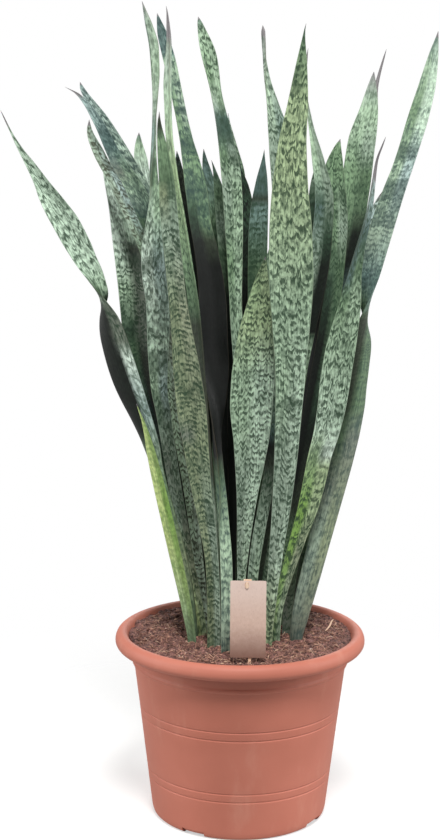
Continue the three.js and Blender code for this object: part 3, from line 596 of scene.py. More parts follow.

# What each leaf looks like, where that differs from the plain look. Heights and lengths are in
# millimetres, and the other measures across a leaf are shares of its half width, right of its middle.
# Besides the leaves' own colours, the ramps hold painted shade and painted light: they darken towards
# the soil and turn near black on leaves deep in the clump, and on a folded leaf one part is painted
# lit and the other painted shaded.
PLAIN_LOOK = {
    "ground": "moss 420 sage",  # the colour at the soil, then heights, each with the colour there
    # On a folded leaf the right part and the left part paint one half with painted light, the other with
    # painted shade
    "right": "",  # the same for the right part, where that differs
    "split": [(0, 0.0)],  # heights, with the place across where the right part starts
    "lines": [(0, 1.0)],  # heights, with the strength of the marks
    "zones": [],  # broad dark stretches, as low end, high end and weight
    "marks": [(0, 7.5, 0.52, 5.0, 8.0)],  # heights, spacing, boldness, zigzag depth and zigzag width
    "chevron": [(0, 0.0)],  # heights, with the marks' slant: up towards the crease, or down if negative
    "crease": 0.0,  # the place across of the crease
    "ink": "ink",  # the colour of the marks
    "dry": 4,  # the length of the dry tip
}
LOOKS = {
    "leaf_left_1": {
        "ground": "moss 291 olive 370 vivid 395 moss 425 black 560 black 578 moss 595 pale 660 pale "
                  "745 grey",
        "right": "moss 291 olive 370 leaf 410 grey 450 mist 505 frost 522 stone 560 stone 578 sage "
                 "600 pale 660 pale 745 grey",
        "split": [(440, 0.45), (505, 0.42), (525, 0.28), (550, 0.4), (585, 0.0)],
        "lines": [(420, 0.6), (580, 1.0)], "zones": [(440, 470, 0.45), (560, 690, 0.22)],
        "marks": [(0, 8.0, 0.42, 8.0, 8.0), (580, 12.0, 0.44, 9.0, 11.0)], "dry": 22},
    "leaf_left_2": {
        "ground": "leaf 240 fresh 312 lemon",
        "right": "leaf 271 lime 350 grass 397 lime",
        "lines": [(0, 0.5)], "marks": [(0, 6.0, 0.4, 3.0, 10.0)], "ink": "vivid"},
    "leaf_left_3": {
        "ground": "vivid 300 moss 440 slate 500 moss 528 deep 570 sage 625 frost 670 frost 720 sage",
        "right": "black 450 black 500 dusk 530 stone 590 stone 616 dusk 630 pale 670 grey 720 moss",
        "lines": [(600, 1.0), (630, 0.7)], "zones": [(440, 500, 0.5), (650, 690, 0.22)],
        "marks": [(590, 5.0, 0.6, 4.0, 9.0), (620, 9.0, 0.5, 5.0, 9.0)]},
    "leaf_left_4": {
        "ground": "pale 280 pale 330 sage 490 sage 538 moss 600 moss 650 grey",
        "right": "pale 280 pale 330 grey 490 grey 538 stone 600 moss 680 mist 747 grey",
        "zones": [(640, 740, 0.35)], "marks": [(0, 6.0, 0.5, 4.0, 8.0)], "ink": "bark", "dry": 8},
    "leaf_left_5": {
        "ground": "black 390 black 430 moss 500 grey 560 stone 610 dusk 645 moss 660 grey 676 sage "
                  "692 stone 720 blue 780 mist",
        "right": "black 390 deep 430 grey 500 sage 560 grey 620 blue 690 sage 720 blue 780 mist",
        "lines": [(560, 1.0), (640, 0.7)], "zones": [(600, 700, 0.5), (705, 740, 0.6)], "ink": "steel",
        "dry": 26},
    "leaf_left_6": {
        "ground": "black 540 deep 600 blue 640 sage 700 pale 784 mist",
        "right": "black 540 moss 600 grey 640 pale 700 pale 784 mist",
        "lines": [(600, 0.8), (650, 0.9)], "zones": [(560, 786, 0.45)],
        "marks": [(0, 9.0, 0.56, 6.0, 8.0)], "ink": "steel"},
    "leaf_left_7": {
        "ground": "black 600 moss 650 sage 690 frost 720 sage 734 slate",
        "lines": [(600, 0.6), (690, 0.2)]},
    "leaf_left_8": {
        "ground": "lemon 271 celery 330 grey 390 stone 430 grey 470 sage 520 pale 600 frost 655 pale "
                  "690 moss 735 blue 760 grey 800 leaf 845 blue 863 mauve",
        "right": "celery 271 khaki 330 stone 390 grey 430 grey 470 mist 520 pale 600 mist 655 sage "
                 "690 leaf 735 grey 760 grey 800 sage 845 grey 863 mauve",
        "lines": [(640, 0.9), (720, 0.4)],
        "zones": [(425, 466, 0.66), (470, 640, 0.27), (490, 512, 0.75), (594, 610, 0.5), (684, 712, 0.6),
                  (790, 845, 0.3)], "marks": [(0, 9.0, 0.56, 6.0, 8.0)]},
    "leaf_front_1": {
        "ground": "olive 415 olive 430 stone 450 olive 560 olive 640 grey 675 olive 690 moss 728 leaf "
                  "740 dusk",
        "right": "grey 330 grey 420 olive 560 khaki 640 grey 690 moss 728 leaf 740 dusk",
        "lines": [(640, 1.0), (680, 0.5), (694, 0.0)], "zones": [(199, 640, 0.3)],
        "marks": [(0, 5.6, 0.54, 1.8, 12.0)], "chevron": [(0, 0.45)], "crease": -0.2, "dry": 7},
    "leaf_front_2": {
        "ground": "grey 340 grey 385 dusk 540 dusk 560 moss 600 leaf 700 fresh 765 sage 800 grey 857 stone",
        "lines": [(640, 1.0), (740, 0.0)], "marks": [(0, 8.0, 0.35, 4.0, 8.0)], "dry": 44},
    "leaf_front_3": {
        "ground": "grey 310 sage 374 moss 405 night 600 night 625 black 655 deep 690 leaf 760 leaf "
                  "806 sage 815 slate",
        "right": "grey 310 sage 374 moss 405 night 600 night 625 dusk 650 leaf 724 leaf 760 grey 806 sage "
                 "815 blue 855 slate",
        "lines": [(380, 0.8), (420, 0.6), (620, 0.6), (715, 0.8), (745, 0.9)],
        "zones": [(610, 705, 0.42), (712, 730, 0.95), (752, 762, 0.6), (778, 790, 0.55), (810, 855, 0.5)],
        "marks": [(0, 9.0, 0.48, 4.0, 9.0)], "ink": "steel"},
    "leaf_front_4": {
        "ground": "celery 291 grey 400 grey 480 sage 560 sage 700 celery 765 celery 815 leaf 838 slate",
        "right": "celery 291 pale 380 grey 460 pale 560 sage 700 celery 765 celery 815 leaf 838 slate",
        "zones": [(440, 470, 0.4), (480, 760, 0.2), (770, 800, 0.45), (816, 838, 0.6)],
        "marks": [(199, 6.8, 0.6, 2.5, 9.0), (480, 7.6, 0.6, 3.5, 9.0), (570, 10.5, 0.62, 7.0, 9.5),
                  (720, 10.5, 0.6, 7.0, 9.0), (838, 8.0, 0.56, 6.0, 6.5)],
        "chevron": [(199, -1.0), (490, -0.8), (570, -0.2)], "crease": 0.35},
    "leaf_front_5": {
        "ground": "grey 384 grey 440 sage 487 sage 540 celery 580 fresh 611 olive",
        "right": "sage 353 pale 487 pale 540 celery",
        "marks": [(0, 6.2, 0.56, 3.6, 6.5)]},
    "leaf_front_6": {
        "ground": "fresh 300 grass 353 grass 407 fresh 435 pale 518 sage 570 leaf 590 slate 640 slate "
                  "680 mist 732 mauve",
        "right": "sage 300 khaki 353 celery 394 celery 408 frost 435 pale 518 sage 575 sage 600 moss "
                 "640 slate 680 mist 732 mauve",
        "lines": [(370, 1.0), (405, 0.6), (440, 1.0)], "marks": [(0, 9.0, 0.6, 8.0, 9.0)], "dry": 60},
    "leaf_middle_1": {
        "ground": "night 640 black 690 dusk 715 slate",
        "zones": [(199, 690, 0.5)], "ink": "night"},
    "leaf_middle_2": {
        "ground": "night 560 black 610 deep 640 leaf 690 blue 717 slate",
        "lines": [(0, 0.5)], "zones": [(560, 717, 0.38)]},
    "leaf_middle_3": {
        "ground": "night 560 black 610 moss 640 grey 670 leaf 706 slate",
        "lines": [(0, 0.6)], "zones": [(560, 706, 0.38)]},
    "leaf_middle_4": {
        "ground": "black 394 moss 477 grey 600 leaf 680 grey 712 leaf 736 slate 750 slate 765 grey "
                  "790 leaf 835 sage 850 slate",
        "right": "dusk 394 grey 477 sage 680 sage 712 grey 736 slate 750 slate 765 sage 835 sage 850 slate",
        "lines": [(700, 1.0), (740, 0.3), (770, 0.5), (790, 1.0)],
        "zones": [(700, 716, 0.5), (724, 756, 0.85), (838, 850, 0.5)],
        "marks": [(0, 8.0, 0.55, 6.0, 7.0)], "chevron": [(0, -0.6)]},
    "leaf_middle_5": {"ground": "night 600 black 680 moss 740 grey 755 mist"},
    "leaf_middle_6": {
        "ground": "night 560 black 640 deep 690 deep 707 slate",
        "zones": [(600, 707, 0.4)], "ink": "night"},
    "leaf_middle_7": {
        "ground": "black 520 deep 600 moss 656 blue 668 dusk 676 slate",
        "right": "black 520 black 600 moss 656 blue 668 dusk 676 slate",
        "lines": [(660, 1.0), (672, 0.1)], "zones": [(560, 640, 0.4)], "marks": [(0, 6.0, 0.5, 2.0, 9.0)]},
    "leaf_middle_8": {
        "ground": "grey 330 grey 390 dusk 410 night 425 slate 470 grey 724 grey 775 sage 800 grey "
                  "841 mauve",
        "right": "sage 330 grey 390 dusk 410 black 425 leaf 580 sage 640 grey 724 blue 775 grey 800 grey "
                 "841 mauve",
        "zones": [(716, 742, 0.4)], "marks": [(0, 8.0, 0.52, 7.0, 7.0)], "dry": 14},
    "leaf_right_1": {
        "ground": "black 330 dusk 374 stone 480 grey 520 night 560 black 600 grey 660 slate 703 sage "
                  "740 sage 819 mauve",
        "right": "moss 374 grey 480 sage 512 sage 530 black 600 black 630 deep 690 grey 740 grey 819 mauve",
        "lines": [(680, 0.9), (710, 0.15)], "marks": [(0, 6.5, 0.5, 5.0, 9.0)], "dry": 40},
    "leaf_right_2": {
        "ground": "black 300 deep 374 moss 560 moss 660 deep 709 grey",
        "marks": [(0, 9.0, 0.5, 6.0, 8.0)]},
    "leaf_right_3": {
        "ground": "moss 291 leaf 340 dusk 374 night 520 black 580 deep 641 leaf",
        "right": "moss 291 leaf 340 dusk 420 black 470 deep 600 moss 641 grey 690 leaf",
        "zones": [(640, 700, 0.35)], "marks": [(0, 6.0, 0.52, 5.0, 6.0)]},
    "leaf_right_4": {
        "ground": "stone 271 stone 353 leaf 400 black 520 black 580 dusk 640 moss 700 leaf 740 sage "
                  "760 sage 775 grey 798 mauve",
        "right": "stone 353 leaf 435 moss 518 moss 560 slate 600 black 630 black 665 moss 695 moss "
                 "720 grey 755 sage 775 grey 798 mauve",
        "lines": [(740, 0.9), (765, 0.2)], "marks": [(0, 7.0, 0.4, 3.0, 4.5)]},
    "leaf_right_5": {
        "ground": "leaf 300 moss 353 night 600 black 660 deep 703 moss 755 grey 823 stone",
        "right": "leaf 300 moss 353 night 600 black 660 moss 703 leaf 755 sage 823 stone",
        "lines": [(720, 1.0), (750, 0.0)], "dry": 66},
    "leaf_right_6": {
        "ground": "stone 312 grey 370 stone 420 moss 455 dusk 545 dusk 560 moss 590 blue 621 grey "
                  "700 sage 760 leaf 806 sage 837 slate",
        "right": "stone 312 olive 420 stone 455 moss 545 moss 580 blue 640 grey 700 mist 744 pale "
                 "806 pale 837 slate",
        "lines": [(420, 0.5), (560, 0.7), (700, 0.7), (810, 0.15)],
        "zones": [(575, 600, 0.5), (640, 664, 0.62), (667, 688, 0.95), (706, 726, 0.6)],
        "marks": [(199, 11.0, 0.3, 2.0, 8.0), (450, 11.0, 0.34, 2.0, 8.0), (520, 5.0, 0.46, 2.0, 8.0)],
        "ink": "steel", "dry": 8},
    "leaf_right_7": {
        "ground": "dusk 291 dusk 332 leaf 560 leaf 600 moss 650 mist 680 frost",
        "right": "moss 291 moss 332 grey 497 sage 600 grey 650 mist 680 frost",
        "dry": 20},
}
SIDE_LOOKS = [
    {"ground": "deep 420 moss 560 sage 800 blue", "zones": [(420, 500, 0.5)]},
    {"ground": "moss 420 leaf 800 grey", "marks": [(0, 9.0, 0.48, 7.0, 9.0)], "ink": "soft"},
    {"ground": "deep 450 moss 600 grey 800 blue", "zones": [(500, 600, 0.6)]},
    {"ground": "vivid 330 moss 450 leaf 800 sage", "marks": [(0, 8.0, 0.5, 6.0, 8.0)]},
]


def along_leaf(ramp, heights):
    """A colour for each height, from a ramp such as "moss 420 sage" that starts at the soil."""
    words = ramp.split()
    places = [SOIL_Z, *map(float, words[1::2])]
    colours = np.array([PALETTE[name] for name in words[::2]])
    return np.stack([np.interp(heights, places, colours[:, i]) for i in range(3)], axis=1)


def ground_colours(look, heights, facing_right):
    """The ground colour of every point: facing_right is 1 at the leaf's right margin, -1 at its left."""
    left = along_leaf(look["ground"], heights)[:, None]
    right = along_leaf(look["right"] or look["ground"], heights)[:, None]
    split, = by_height(look["split"], heights)
    share = np.clip((facing_right - split) * SPLIT_SHARPNESS + 0.5, 0, 1)[..., None]
    share = share * share * (3 - 2 * share)
    return left * (1 - share) + right * share


def zone_strength(zones, heights):
    """How strongly each height lies in the dark zones, whose ends are soft."""
    strength = np.zeros_like(heights)
    for low, high, weight in zones:
        soft = ZONE_SOFTNESS * (high - low)
        inside = np.minimum(heights - low, high - heights) / soft + 0.5
        strength = np.maximum(strength, weight * np.clip(inside, 0, 1))
    return strength


def by_height(stops, heights):
    """Columns of numbers for the heights, one or more, from stops that each start with a height."""
    places, *columns = zip(*stops)
    return [np.interp(heights, places, column)[:, None] for column in columns]


def leaf_outline(rows, rng, lengths):
    """Points round each station, in millimetres: over the channelled face, then back over the back."""
    turn = np.linspace(0, math.pi, FACE_POINTS)
    across = np.concatenate([-np.cos(turn), np.cos(turn)[1:-1]])
    back = np.arange(len(across)) >= FACE_POINTS
    x, y, half, angle, channel, thick = rows.T[:, :, None]
    outward = np.abs(across)
    fold = np.where(channel > FOLDED_FROM * half, FOLD_POWER, CHANNEL_POWER)
    lip = channel * (1 - outward**fold) - (channel + thick) / 2
    depth = lip + back * thick * np.sqrt(np.maximum(0, 1 - outward**BACK_POWER))
    ripple = np.zeros((len(rows), 2))
    for wavelength, size in RIPPLES:
        phases = rng.uniform(0, 2 * math.pi, 2)
        ripple += size * np.sin(2 * math.pi * lengths[:, None] / wavelength + phases)
    margin = np.where(across < 0, ripple[:, :1], ripple[:, 1:]) * outward**RIPPLE_POWER
    depth = depth + margin * np.minimum(half, RIPPLE_HALF)
    u = across * half
    px = x + u * np.cos(angle) - depth * np.sin(angle)
    py = y + u * np.sin(angle) + depth * np.cos(angle)
    return across, back, px, py


def strip_faces(rings, around):
    """Quads between rings of points, a flat cap below and a cap above."""
    ring = np.arange(rings - 1)[:, None] * around
    i = np.arange(around)[None, :]
    j = (i + 1) % around
    quads = np.stack([ring + i, ring + j, ring + around + j, ring + around + i], axis=-1)
    caps = [tuple(range(around))[::-1], tuple(range((rings - 1) * around, rings * around))]
    return [tuple(q) for q in quads.reshape(-1, 4).tolist()] + caps


def bake_strips(piece, rings, around, girth, length):
    """A flat layout of the leaf's skin for baking: its length cut in columns side by side."""
    columns = max(1, round(math.sqrt(length / girth)))
    per_column = math.ceil((rings - 1) / columns)
    pad = 0.01
    ring, place = np.meshgrid(np.arange(rings - 1), np.arange(around), indexing="ij")
    column, row = ring // per_column, ring % per_column
    corner_u = np.stack([place, place + 1, place + 1, place], axis=-1) / around
    corner_v = np.stack([row, row, row + 1, row + 1], axis=-1) / per_column
    u = (column[..., None] + pad + corner_u * (1 - 2 * pad)) / columns
    flat = np.stack([u, pad + corner_v * (1 - 2 * pad)], axis=-1).reshape(-1, 2)
    caps = np.tile([[0.002, 0.002]], (2 * around, 1))
    layer = piece.data.uv_layers.new(name="OFBake")
    layer.data.foreach_set("uv", np.concatenate([flat, caps]).astype(np.float32).ravel())


def add_leaf(node, look, skin, seed):
    """A leaf's finely shaped blade through the sections of its CAD node."""
    rng = np.random.default_rng(seed)
    knots, values = read_blade(node)
    count = max(FEWEST_STATIONS, round((knots[-1] - knots[0]) / BLADE_STEP))
    places = np.linspace(0, 1, count)
    heights = knots[0] + (knots[-1] - knots[0]) * (1 - (1 - places) ** TIP_CROWDING)
    rows = eased(knots, values, heights)
    rows[:, 2] = np.maximum(rows[:, 2], TIP_HALF)
    centre = np.column_stack([rows[:, :2], heights])
    lengths = np.concatenate([[0], np.cumsum(np.linalg.norm(np.diff(centre, axis=0), axis=1))])
    across, back, px, py = leaf_outline(rows, rng, lengths)
    around = len(across)
    pz = np.broadcast_to(heights[:, None], px.shape)
    vertices = np.clip(np.stack([px, py, pz], axis=-1).reshape(-1, 3) * MM, *cad_box)
    piece = add_mesh(node + "_blade", vertices, strip_faces(count, around), skin)

    half = rows[:, 2:3]
    facing_right = across * np.sign(np.cos(rows[:, 3:4]))
    side = np.where(np.abs(across) > 0.999, 0.5, back)
    dryness = np.clip(DRY_START - (lengths[-1] - lengths) / look["dry"], 0, 1)
    zones = zone_strength(look["zones"], heights)
    spacing, bold, zigzag, tooth = by_height(look["marks"], heights)
    strength, = by_height(look["lines"], heights)
    chevron, = by_height(look["chevron"], heights)
    slant = chevron * np.abs(facing_right - look["crease"]) * half / spacing
    turns = np.cumsum(np.diff(lengths, prepend=0)[:, None] / spacing, axis=0) + slant
    for name, columns in {
        "blade": (across * half, lengths[:, None] + seed * LEAF_SHIFT, side),
        "shape": (across, half, dryness[:, None]),
        "marking": (strength, zones[:, None], tooth),
        "pattern": (spacing, bold, zigzag),
        "turns": (turns, 0.0, 0.0),
    }.items():
        wide = [np.broadcast_to(column, px.shape) for column in columns]
        add_attribute(piece, name, np.stack(wide, axis=-1))
    foot_shade = np.interp(heights, *FOOT_SHADE)[:, None, None]
    ground = ground_colours(look, heights, facing_right) * foot_shade
    add_attribute(piece, "ground", ground)
    add_attribute(piece, "ink", np.minimum(ground * DARKEST_SHARE, PALETTE[look["ink"]]))
    girth = 4 * np.percentile(rows[:, 2], 80)
    bake_strips(piece, count, around, girth, lengths[-1])
    take_place_of(piece, node)


def add_leaves():
    skin = leaf_skin()
    for seed, node in enumerate(sorted(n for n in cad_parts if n.startswith("leaf_"))):
        given = LOOKS.get(node, SIDE_LOOKS[seed % len(SIDE_LOOKS)])
        add_leaf(node, {**PLAIN_LOOK, **given}, skin, seed)


# Pot


def body_radius(z):
    return BODY_LOW_R + (BODY_TOP_R - BODY_LOW_R) * (z - FOOT_EDGE) / (RIDGE_Z - FOOT_EDGE)


def inside_radius(z, top_z):
    bend = body_radius(INSIDE_BEND) - WALL
    if z < INSIDE_BEND:
        return body_radius(z) - WALL
    return bend + (RIM_IN_R - bend) * (z - INSIDE_BEND) / (top_z - INSIDE_BEND)


def rounded(corners, steps=5):
    """An outline of [r, z, radius] corners, each rounded off by an arc of its radius."""
    outline = []
    for i, (r, z, radius) in enumerate(corners):
        here = np.array([r, z])
        if radius == 0 or i in (0, len(corners) - 1):
            outline.append(here)
            continue
        before = np.array(corners[i - 1][:2]) - here
        after = np.array(corners[i + 1][:2]) - here
        reach = min(radius, 0.45 * np.linalg.norm(before), 0.45 * np.linalg.norm(after))
        start = here + before / np.linalg.norm(before) * reach
        end = here + after / np.linalg.norm(after) * reach
        for t in np.linspace(0, 1, steps):
            outline.append((1 - t) ** 2 * start + 2 * t * (1 - t) * here + t**2 * end)
    return outline


def pot_corners(rim_r, top):
    """The pot's outline from the middle of its underside, up its outside and down its inside."""
    skirt = top - RIM_DROP
    inner = top - INSIDE_DROP
    skirt_in_r = rim_r - WALL
    corners = [[0, 0, 0], [BODY_LOW_R - 5, 0, 1.5], [BODY_LOW_R - 1.6, 2, 2], [BODY_LOW_R, FOOT_EDGE, 5]]
    for z in GROOVES:
        corners += [[body_radius(z - GROOVE_HALF), z - GROOVE_HALF, 0.5],
                    [body_radius(z) - GROOVE_DEPTH, z, 0.5],
                    [body_radius(z + GROOVE_HALF), z + GROOVE_HALF, 0.5]]
    corners += [
        [BODY_TOP_R, RIDGE_Z - 2.5, 1.2],
        [BODY_TOP_R + RIDGE_PROUD, RIDGE_Z - 1, 0.9],
        [BODY_TOP_R + RIDGE_PROUD, RIDGE_Z + 1.5, 0.9],
        [NECK_R, RIDGE_Z + 3, 1.2],
        [NECK_R + 1.5, skirt, 3],
        [NECK_R + 4, skirt + 8, 3],
        [skirt_in_r - 3, skirt + 12, 3],
        [skirt_in_r - 0.4, skirt + 8.5, 2.2],
        [skirt_in_r - 0.4, skirt + 5, 2.2],
        [skirt_in_r - 2.2, skirt + 1.8, 1.2],
        [skirt_in_r - 4.6, skirt, 0.6],
        [rim_r - 5.0, skirt, 0.9],
        [rim_r - 1.5, skirt + 2.2, 1.8],
        [rim_r, skirt + 5.2, 2.2],
        [rim_r, skirt + 9.2, 2.6],
        [rim_r - 1.7, skirt + 13.7, 3],
        [rim_r - 4.8, top - 0.7, 3],
        [rim_r - 7.5, top, 3],
        [RIM_IN_R + 2, top - 0.8, 2.2],
        [RIM_IN_R, inner, 1.5],
        [inside_radius(INSIDE_BEND, inner), INSIDE_BEND, 3],
        [inside_radius(WALL, inner), WALL, 2],
        [0, WALL, 0],
    ]
    return corners


def split_long(outline, longest=9.0):
    """The outline with points added so that no stretch of it is longer than this."""
    fine = [outline[0]]
    for start, end in zip(outline[:-1], outline[1:]):
        pieces = max(1, math.ceil(np.linalg.norm(end - start) / longest))
        fine += [start + (end - start) * k / pieces for k in range(1, pieces + 1)]
    return fine


def turned_mesh(name, outline, sides, material):
    """A closed shape turned round the Z axis from an outline that starts and ends on it."""
    turn = np.linspace(0, 2 * math.pi, sides, endpoint=False)
    body = np.array(outline[1:-1])
    rings = len(body)
    r, z = body[:, :1], body[:, 1:]
    points = np.stack([r * np.cos(turn), r * np.sin(turn), np.broadcast_to(z, (rings, sides))], axis=-1)
    vertices = np.vstack([points.reshape(-1, 3), [[0, 0, outline[0][1]], [0, 0, outline[-1][1]]]]) * MM
    return add_mesh(name, vertices, pointed_faces(rings, sides), material)


def pointed_faces(rings, around):
    """Quads between rings of points, closed by fans round two more points: one below, one above."""
    first, last, top = rings * around, rings * around + 1, (rings - 1) * around
    faces = strip_faces(rings, around)[:-2]
    for i in range(around):
        j = (i + 1) % around
        faces += [(first, j, i), (last, top + i, top + j)]
    return faces


def channel_turns():
    """The turns that take the X axis to each drain channel."""
    angles = [math.radians(CHANNEL_FIRST + i * 360 / CHANNELS) for i in range(CHANNELS)]
    return [Matrix.Rotation(angle, 4, "Z") for angle in angles]


def bar_mesh(margin):
    """The drain channels as bars, all in one mesh, larger than them by margin."""
    made = bmesh.new()
    reach = CHANNEL["width"] / 2 + margin
    for turn in channel_turns():
        low = Vector((CHANNEL["start"] - margin, -reach, -1)) * MM
        high = Vector((CHANNEL["end"], reach, CHANNEL["height"] + margin)) * MM
        box = Matrix.Translation((low + high) / 2) @ Matrix.Diagonal((*(high - low), 1))
        bmesh.ops.create_cube(made, size=1, matrix=turn @ box)
    return made


def channel_roofs(material):
    """The raised floor over the drain channels, kept inside the pot's wall."""
    wall_r = BODY_LOW_R - WALL / 2
    top = CHANNEL["height"] + 2 * WALL
    inside = [[0, WALL / 2], [wall_r - WALL, WALL / 2], [wall_r, top], [0, top]]
    roofs = turned_mesh("roofs", [np.array(point, float) for point in inside], POT_SIDES, material)
    cut(roofs, bar_mesh(WALL), "INTERSECT")
    made = bmesh.new()
    made.from_mesh(roofs.data)
    bpy.data.objects.remove(roofs)
    return made


def drain_mesh():
    """The drain holes as upright rods, all in one mesh."""
    made = bmesh.new()
    for turn in channel_turns():
        for distance in DRAIN_HOLE["places"]:
            r = DRAIN_HOLE["r"] * MM
            place = turn @ Matrix.Translation((distance * MM, 0, 0))
            bmesh.ops.create_cone(made, cap_ends=True, segments=DRAIN_HOLE["sides"], radius1=r,
                                  radius2=r, depth=40 * MM, matrix=place)
    return made


def cut(piece, made, operation):
    """Joins a scratch mesh to the piece, or cuts it away from the piece."""
    tool_mesh = bpy.data.meshes.new("scratch")
    made.to_mesh(tool_mesh)
    made.free()
    tool = bpy.data.objects.new("scratch", tool_mesh)
    bpy.context.scene.collection.objects.link(tool)
    change = piece.modifiers.new("cut", "BOOLEAN")
    change.object, change.operation, change.solver = tool, operation, "EXACT"
    bpy.context.view_layer.update()
    seen = piece.evaluated_get(bpy.context.evaluated_depsgraph_get())
    result = bpy.data.meshes.new_from_object(seen)
    piece.modifiers.clear()
    old, piece.data = piece.data, result
    result.name = old.name + "_cut"
    bpy.data.meshes.remove(old)
    bpy.data.objects.remove(tool)
    bpy.data.meshes.remove(tool_mesh)


def add_pot():
    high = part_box("pot")[1] / MM
    outline = split_long(rounded(pot_corners(high.x, high.z)))
    pot = turned_mesh("pot_shell", outline, POT_SIDES, terracotta_plastic())
    cut(pot, channel_roofs(pot.data.materials[0]), "UNION")
    cut(pot, bar_mesh(0), "DIFFERENCE")
    cut(pot, drain_mesh(), "DIFFERENCE")
    smooth_by_angle(pot, 40)
    take_place_of(pot, "pot")


def smooth_by_angle(piece, degrees):
    """Smooth faces, with sharp edges where the surface turns by more than this."""
    mesh = piece.data
    mesh.polygons.foreach_set("use_smooth", [True] * len(mesh.polygons))
    mesh.set_sharp_from_angle(angle=math.radians(degrees))


# Soil


def soil_level(x, y):
    """Height of the soil, in millimetres: level by the leaves, lower at the wall, and lumpy."""
    r = np.hypot(x, y)
    base = SOIL_Z - SOIL_DROP * np.clip((r - SOIL_FLAT_R) / SOIL_SLOPE, 0, 1)
    coarse, fine, crumbs = (
        height * value_noise(x, y, width, seed) for seed, (width, height) in enumerate(SOIL_LUMPS, 1))
    return base + (coarse + fine) + np.abs(crumbs)


def level_at(x, y):
    return float(soil_level(np.array([x]), np.array([y]))[0])


def value_noise(x, y, size, seed):
    """Smooth seeded noise from -1 to 1 with lumps of this size."""
    grid = np.random.default_rng(seed).uniform(-1, 1, (256, 256))
    gx, gy = x / size + 100.5, y / size + 100.5
    ix, iy = np.floor(gx).astype(int), np.floor(gy).astype(int)
    fx, fy = gx - ix, gy - iy
    fx, fy = fx * fx * (3 - 2 * fx), fy * fy * (3 - 2 * fy)
    low = grid[ix, iy] * (1 - fx) + grid[ix + 1, iy] * fx
    high = grid[ix, iy + 1] * (1 - fx) + grid[ix + 1, iy + 1] * fx
    return low * (1 - fy) + high * fy


def add_soil(top):
    """The soil's lumpy top, closed below along the pot's inside. Gives the radius of its edge."""
    inner = top - INSIDE_DROP
    wall_r = inside_radius(SOIL_Z - SOIL_DROP, inner) - SOIL_GAP
    turn = np.linspace(0, 2 * math.pi, SOIL_SIDES, endpoint=False)
    radii = wall_r * (1 - (1 - np.linspace(0, 1, SOIL_RINGS + 1)[1:]) ** 1.1)[::-1]
    x, y = radii[:, None] * np.cos(turn), radii[:, None] * np.sin(turn)
    z = soil_level(x, y)
    floor_z = CHANNEL["height"] + 2 * WALL + 1
    below = [(inside_radius(height, inner) - SOIL_GAP, height) for height in (floor_z, INSIDE_BEND)]
    lower = [np.stack([r * np.cos(turn), r * np.sin(turn), np.full(len(turn), h)], -1) for r, h in below]
    points = np.concatenate([np.stack(lower), np.stack([x, y, z], -1)])
    vertices = np.vstack([points.reshape(-1, 3), [[0, 0, floor_z], [0, 0, level_at(0, 0)]]])
    faces = pointed_faces(len(points), SOIL_SIDES)
    soil = add_mesh("soil_bed", vertices * MM, faces, coir_soil())
    take_place_of(soil, "soil")
    return wall_r


def strand(points, radius, sides=4):
    """A thin closed tube along an array of points, as vertices and faces."""
    ahead = np.gradient(points, axis=0)
    ahead /= np.linalg.norm(ahead, axis=1, keepdims=True)
    level = np.cross(ahead, [0, 0, 1.0])
    level /= np.linalg.norm(level, axis=1, keepdims=True) + 1e-9
    above = np.cross(level, ahead)
    taper = np.sin(np.linspace(0.25, math.pi - 0.25, len(points)))[:, None, None] ** 0.5
    turn = np.linspace(0, 2 * math.pi, sides, endpoint=False)[None, :, None]
    ring = points[:, None] + radius * taper * (np.cos(turn) * level[:, None] + np.sin(turn) * above[:, None])
    return ring.reshape(-1, 3), strip_faces(len(points), sides)


def chip(rng, place, size):
    """A small crumb with uneven flat sides, as vertices and faces."""
    made = bmesh.new()
    bmesh.ops.create_icosphere(made, subdivisions=1, radius=1.0)
    shape = np.array([v.co for v in made.verts]) * rng.uniform(0.72, 1.25, (len(made.verts), 1))
    faces = [tuple(v.index for v in f.verts) for f in made.faces]
    made.free()
    stretch = size * np.array([rng.uniform(0.9, 1.9), rng.uniform(0.6, 1.0), rng.uniform(0.35, 0.8)])
    round_z = Matrix.Rotation(rng.uniform(0, 2 * math.pi), 3, "Z")
    tilt = Matrix.Rotation(rng.uniform(-0.5, 0.5), 3, "X")
    return (shape * stretch) @ np.array(round_z @ tilt).T + place, faces


def gathered(name, parts, tones, material):
    """One mesh from many small parts, each with its own tone."""
    vertices, faces, tone = [], [], []
    start = 0
    for (points, sides), own in zip(parts, tones):
        vertices.append(points)
        faces += [tuple(i + start for i in face) for face in sides]
        tone.append(np.tile(own, (len(points), 1)))
        start += len(points)
    piece = add_mesh(name, np.vstack(vertices) * MM, faces, material)
    add_attribute(piece, "tone", np.vstack(tone))
    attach(piece, "root")


def scattered(rng, wall_r, amount):
    """Random places on the soil: so many, and so far in from its edge."""
    count, inset = amount
    for _ in range(count):
        r = (wall_r - inset) * math.sqrt(rng.uniform(0.05, 0.97))
        angle = rng.uniform(0, 2 * math.pi)
        yield r * math.cos(angle), r * math.sin(angle)


def lying_curve(rng, x, y, length, lift, bend):
    """Points of a wandering line over the soil from x, y, which rises by lift in its middle."""
    heading = rng.uniform(0, 2 * math.pi)
    points = []
    steps = 8
    for k in range(steps):
        points.append([x, y, level_at(x, y) + lift * math.sin(math.pi * k / (steps - 1)) + 0.1])
        x += length / steps * math.cos(heading)
        y += length / steps * math.sin(heading)
        heading += rng.normal(0, bend)
    return np.array(points)


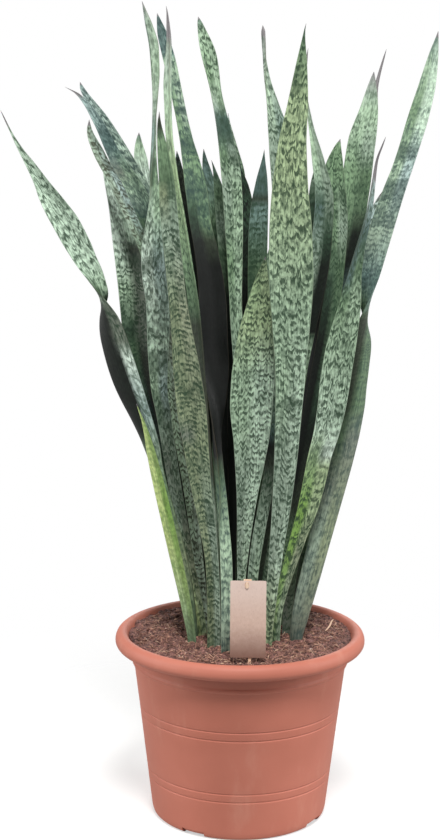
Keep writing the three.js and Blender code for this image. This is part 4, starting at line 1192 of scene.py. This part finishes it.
def add_litter(wall_r):
    """What lies loose on the soil: coir fibres, husk crumbs, pale grit and a twig."""
    rng = np.random.default_rng(5)
    husk = coir_strands()
    strands, tones = [], []
    for x, y in scattered(rng, wall_r, FIBRES):
        points = lying_curve(rng, x, y, rng.uniform(4, 17), rng.uniform(0, 2.2), 0.35)
        if np.hypot(points[:, 0], points[:, 1]).max() < wall_r - 1.5:
            strands.append(strand(points, rng.uniform(0.14, 0.40)))
            tones.append([rng.uniform(0.1, 1), rng.uniform(0, 1), 0])
    gathered("coir_fibres", strands, tones, husk)
    crumbs = [chip(rng, [x, y, level_at(x, y) + 0.8], 1.6) for x, y in FRONT_CHIPS]
    tones = [[1, 0.95, 0]] * len(crumbs)
    for x, y in scattered(rng, wall_r, CRUMBS):
        crumbs.append(chip(rng, [x, y, level_at(x, y) + 0.2], rng.uniform(0.5, 1.9)))
        tones.append([rng.uniform(0, 0.75), rng.uniform(0, 0.85), 0])
    gathered("husk_crumbs", crumbs, tones, husk)
    grit, tones = [], []
    for x, y in scattered(rng, wall_r, GRIT):
        grit.append(chip(rng, [x, y, level_at(x, y) + 0.4], rng.uniform(0.5, 1.1)))
        tones.append([0, 0, 0])
    gathered("white_grit", grit, tones, pale_grit())
    (x, y), (end_x, end_y) = TWIG
    t = np.linspace(0, 1, 14)
    twig = np.column_stack([
        x + (end_x - x) * t + 1.2 * np.sin(5 * t), y + (end_y - y) * t, TWIG_Z + 1.2 * np.sin(3 * t)])
    gathered("dry_twig", [strand(twig, 1.1, 8)], [[0.9, 0.9, 0]], husk)


# Label


def with_material(node, material):
    """A piece of the frame that keeps its shape, with this material."""
    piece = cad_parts[node]
    piece.data.materials.clear()
    piece.data.materials.append(material)
    return piece


def finish_label():
    card = with_material("label_card", kraft_card())
    pick = with_material("label_pick", cream_plastic())


# Studio


def add_lamp(name, place, size, power):
    data = bpy.data.lights.new(name, "AREA")
    data.shape, data.size, data.energy = "DISK", size, power
    lamp = bpy.data.objects.new(name, data)
    lamp.location = place
    lamp.rotation_euler = (Vector(AIM) - Vector(place)).to_track_quat("-Z", "Y").to_euler()
    bpy.context.scene.collection.objects.link(lamp)


def add_world():
    """White all round as seen, and softer as a light."""
    studio = Finish("studio", "worlds")
    seen = studio.node("LightPath", (), (), "Is Camera Ray")
    mirrored = studio.node("LightPath", (), (), "Is Glossy Ray")
    strength = SOFT_LIGHT + seen * (1.0 - SOFT_LIGHT) + mirrored * (SHEEN_LIGHT - SOFT_LIGHT)
    white = studio.node("Background", (), {"Color": (1.0, 1.0, 1.0), "Strength": strength})
    studio.node("OutputWorld", (), {"Surface": white})
    bpy.context.scene.world = studio.made


def add_studio():
    add_world()
    bpy.context.scene.view_settings.view_transform = "Standard"
    for name, lamp in LAMPS.items():
        add_lamp(name, *lamp)
    corners = [(x * FLOOR_REACH, y * FLOOR_REACH, 0) for x, y in ((-1, -1), (1, -1), (1, 1), (-1, 1))]
    floor = add_mesh("floor", corners, [(0, 1, 2, 3)], pale_floor(), smooth=False)


add_camera()
add_studio()
add_leaves()
add_pot()
wall_radius = add_soil(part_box("pot")[1].z / MM)
add_litter(wall_radius)
finish_label()
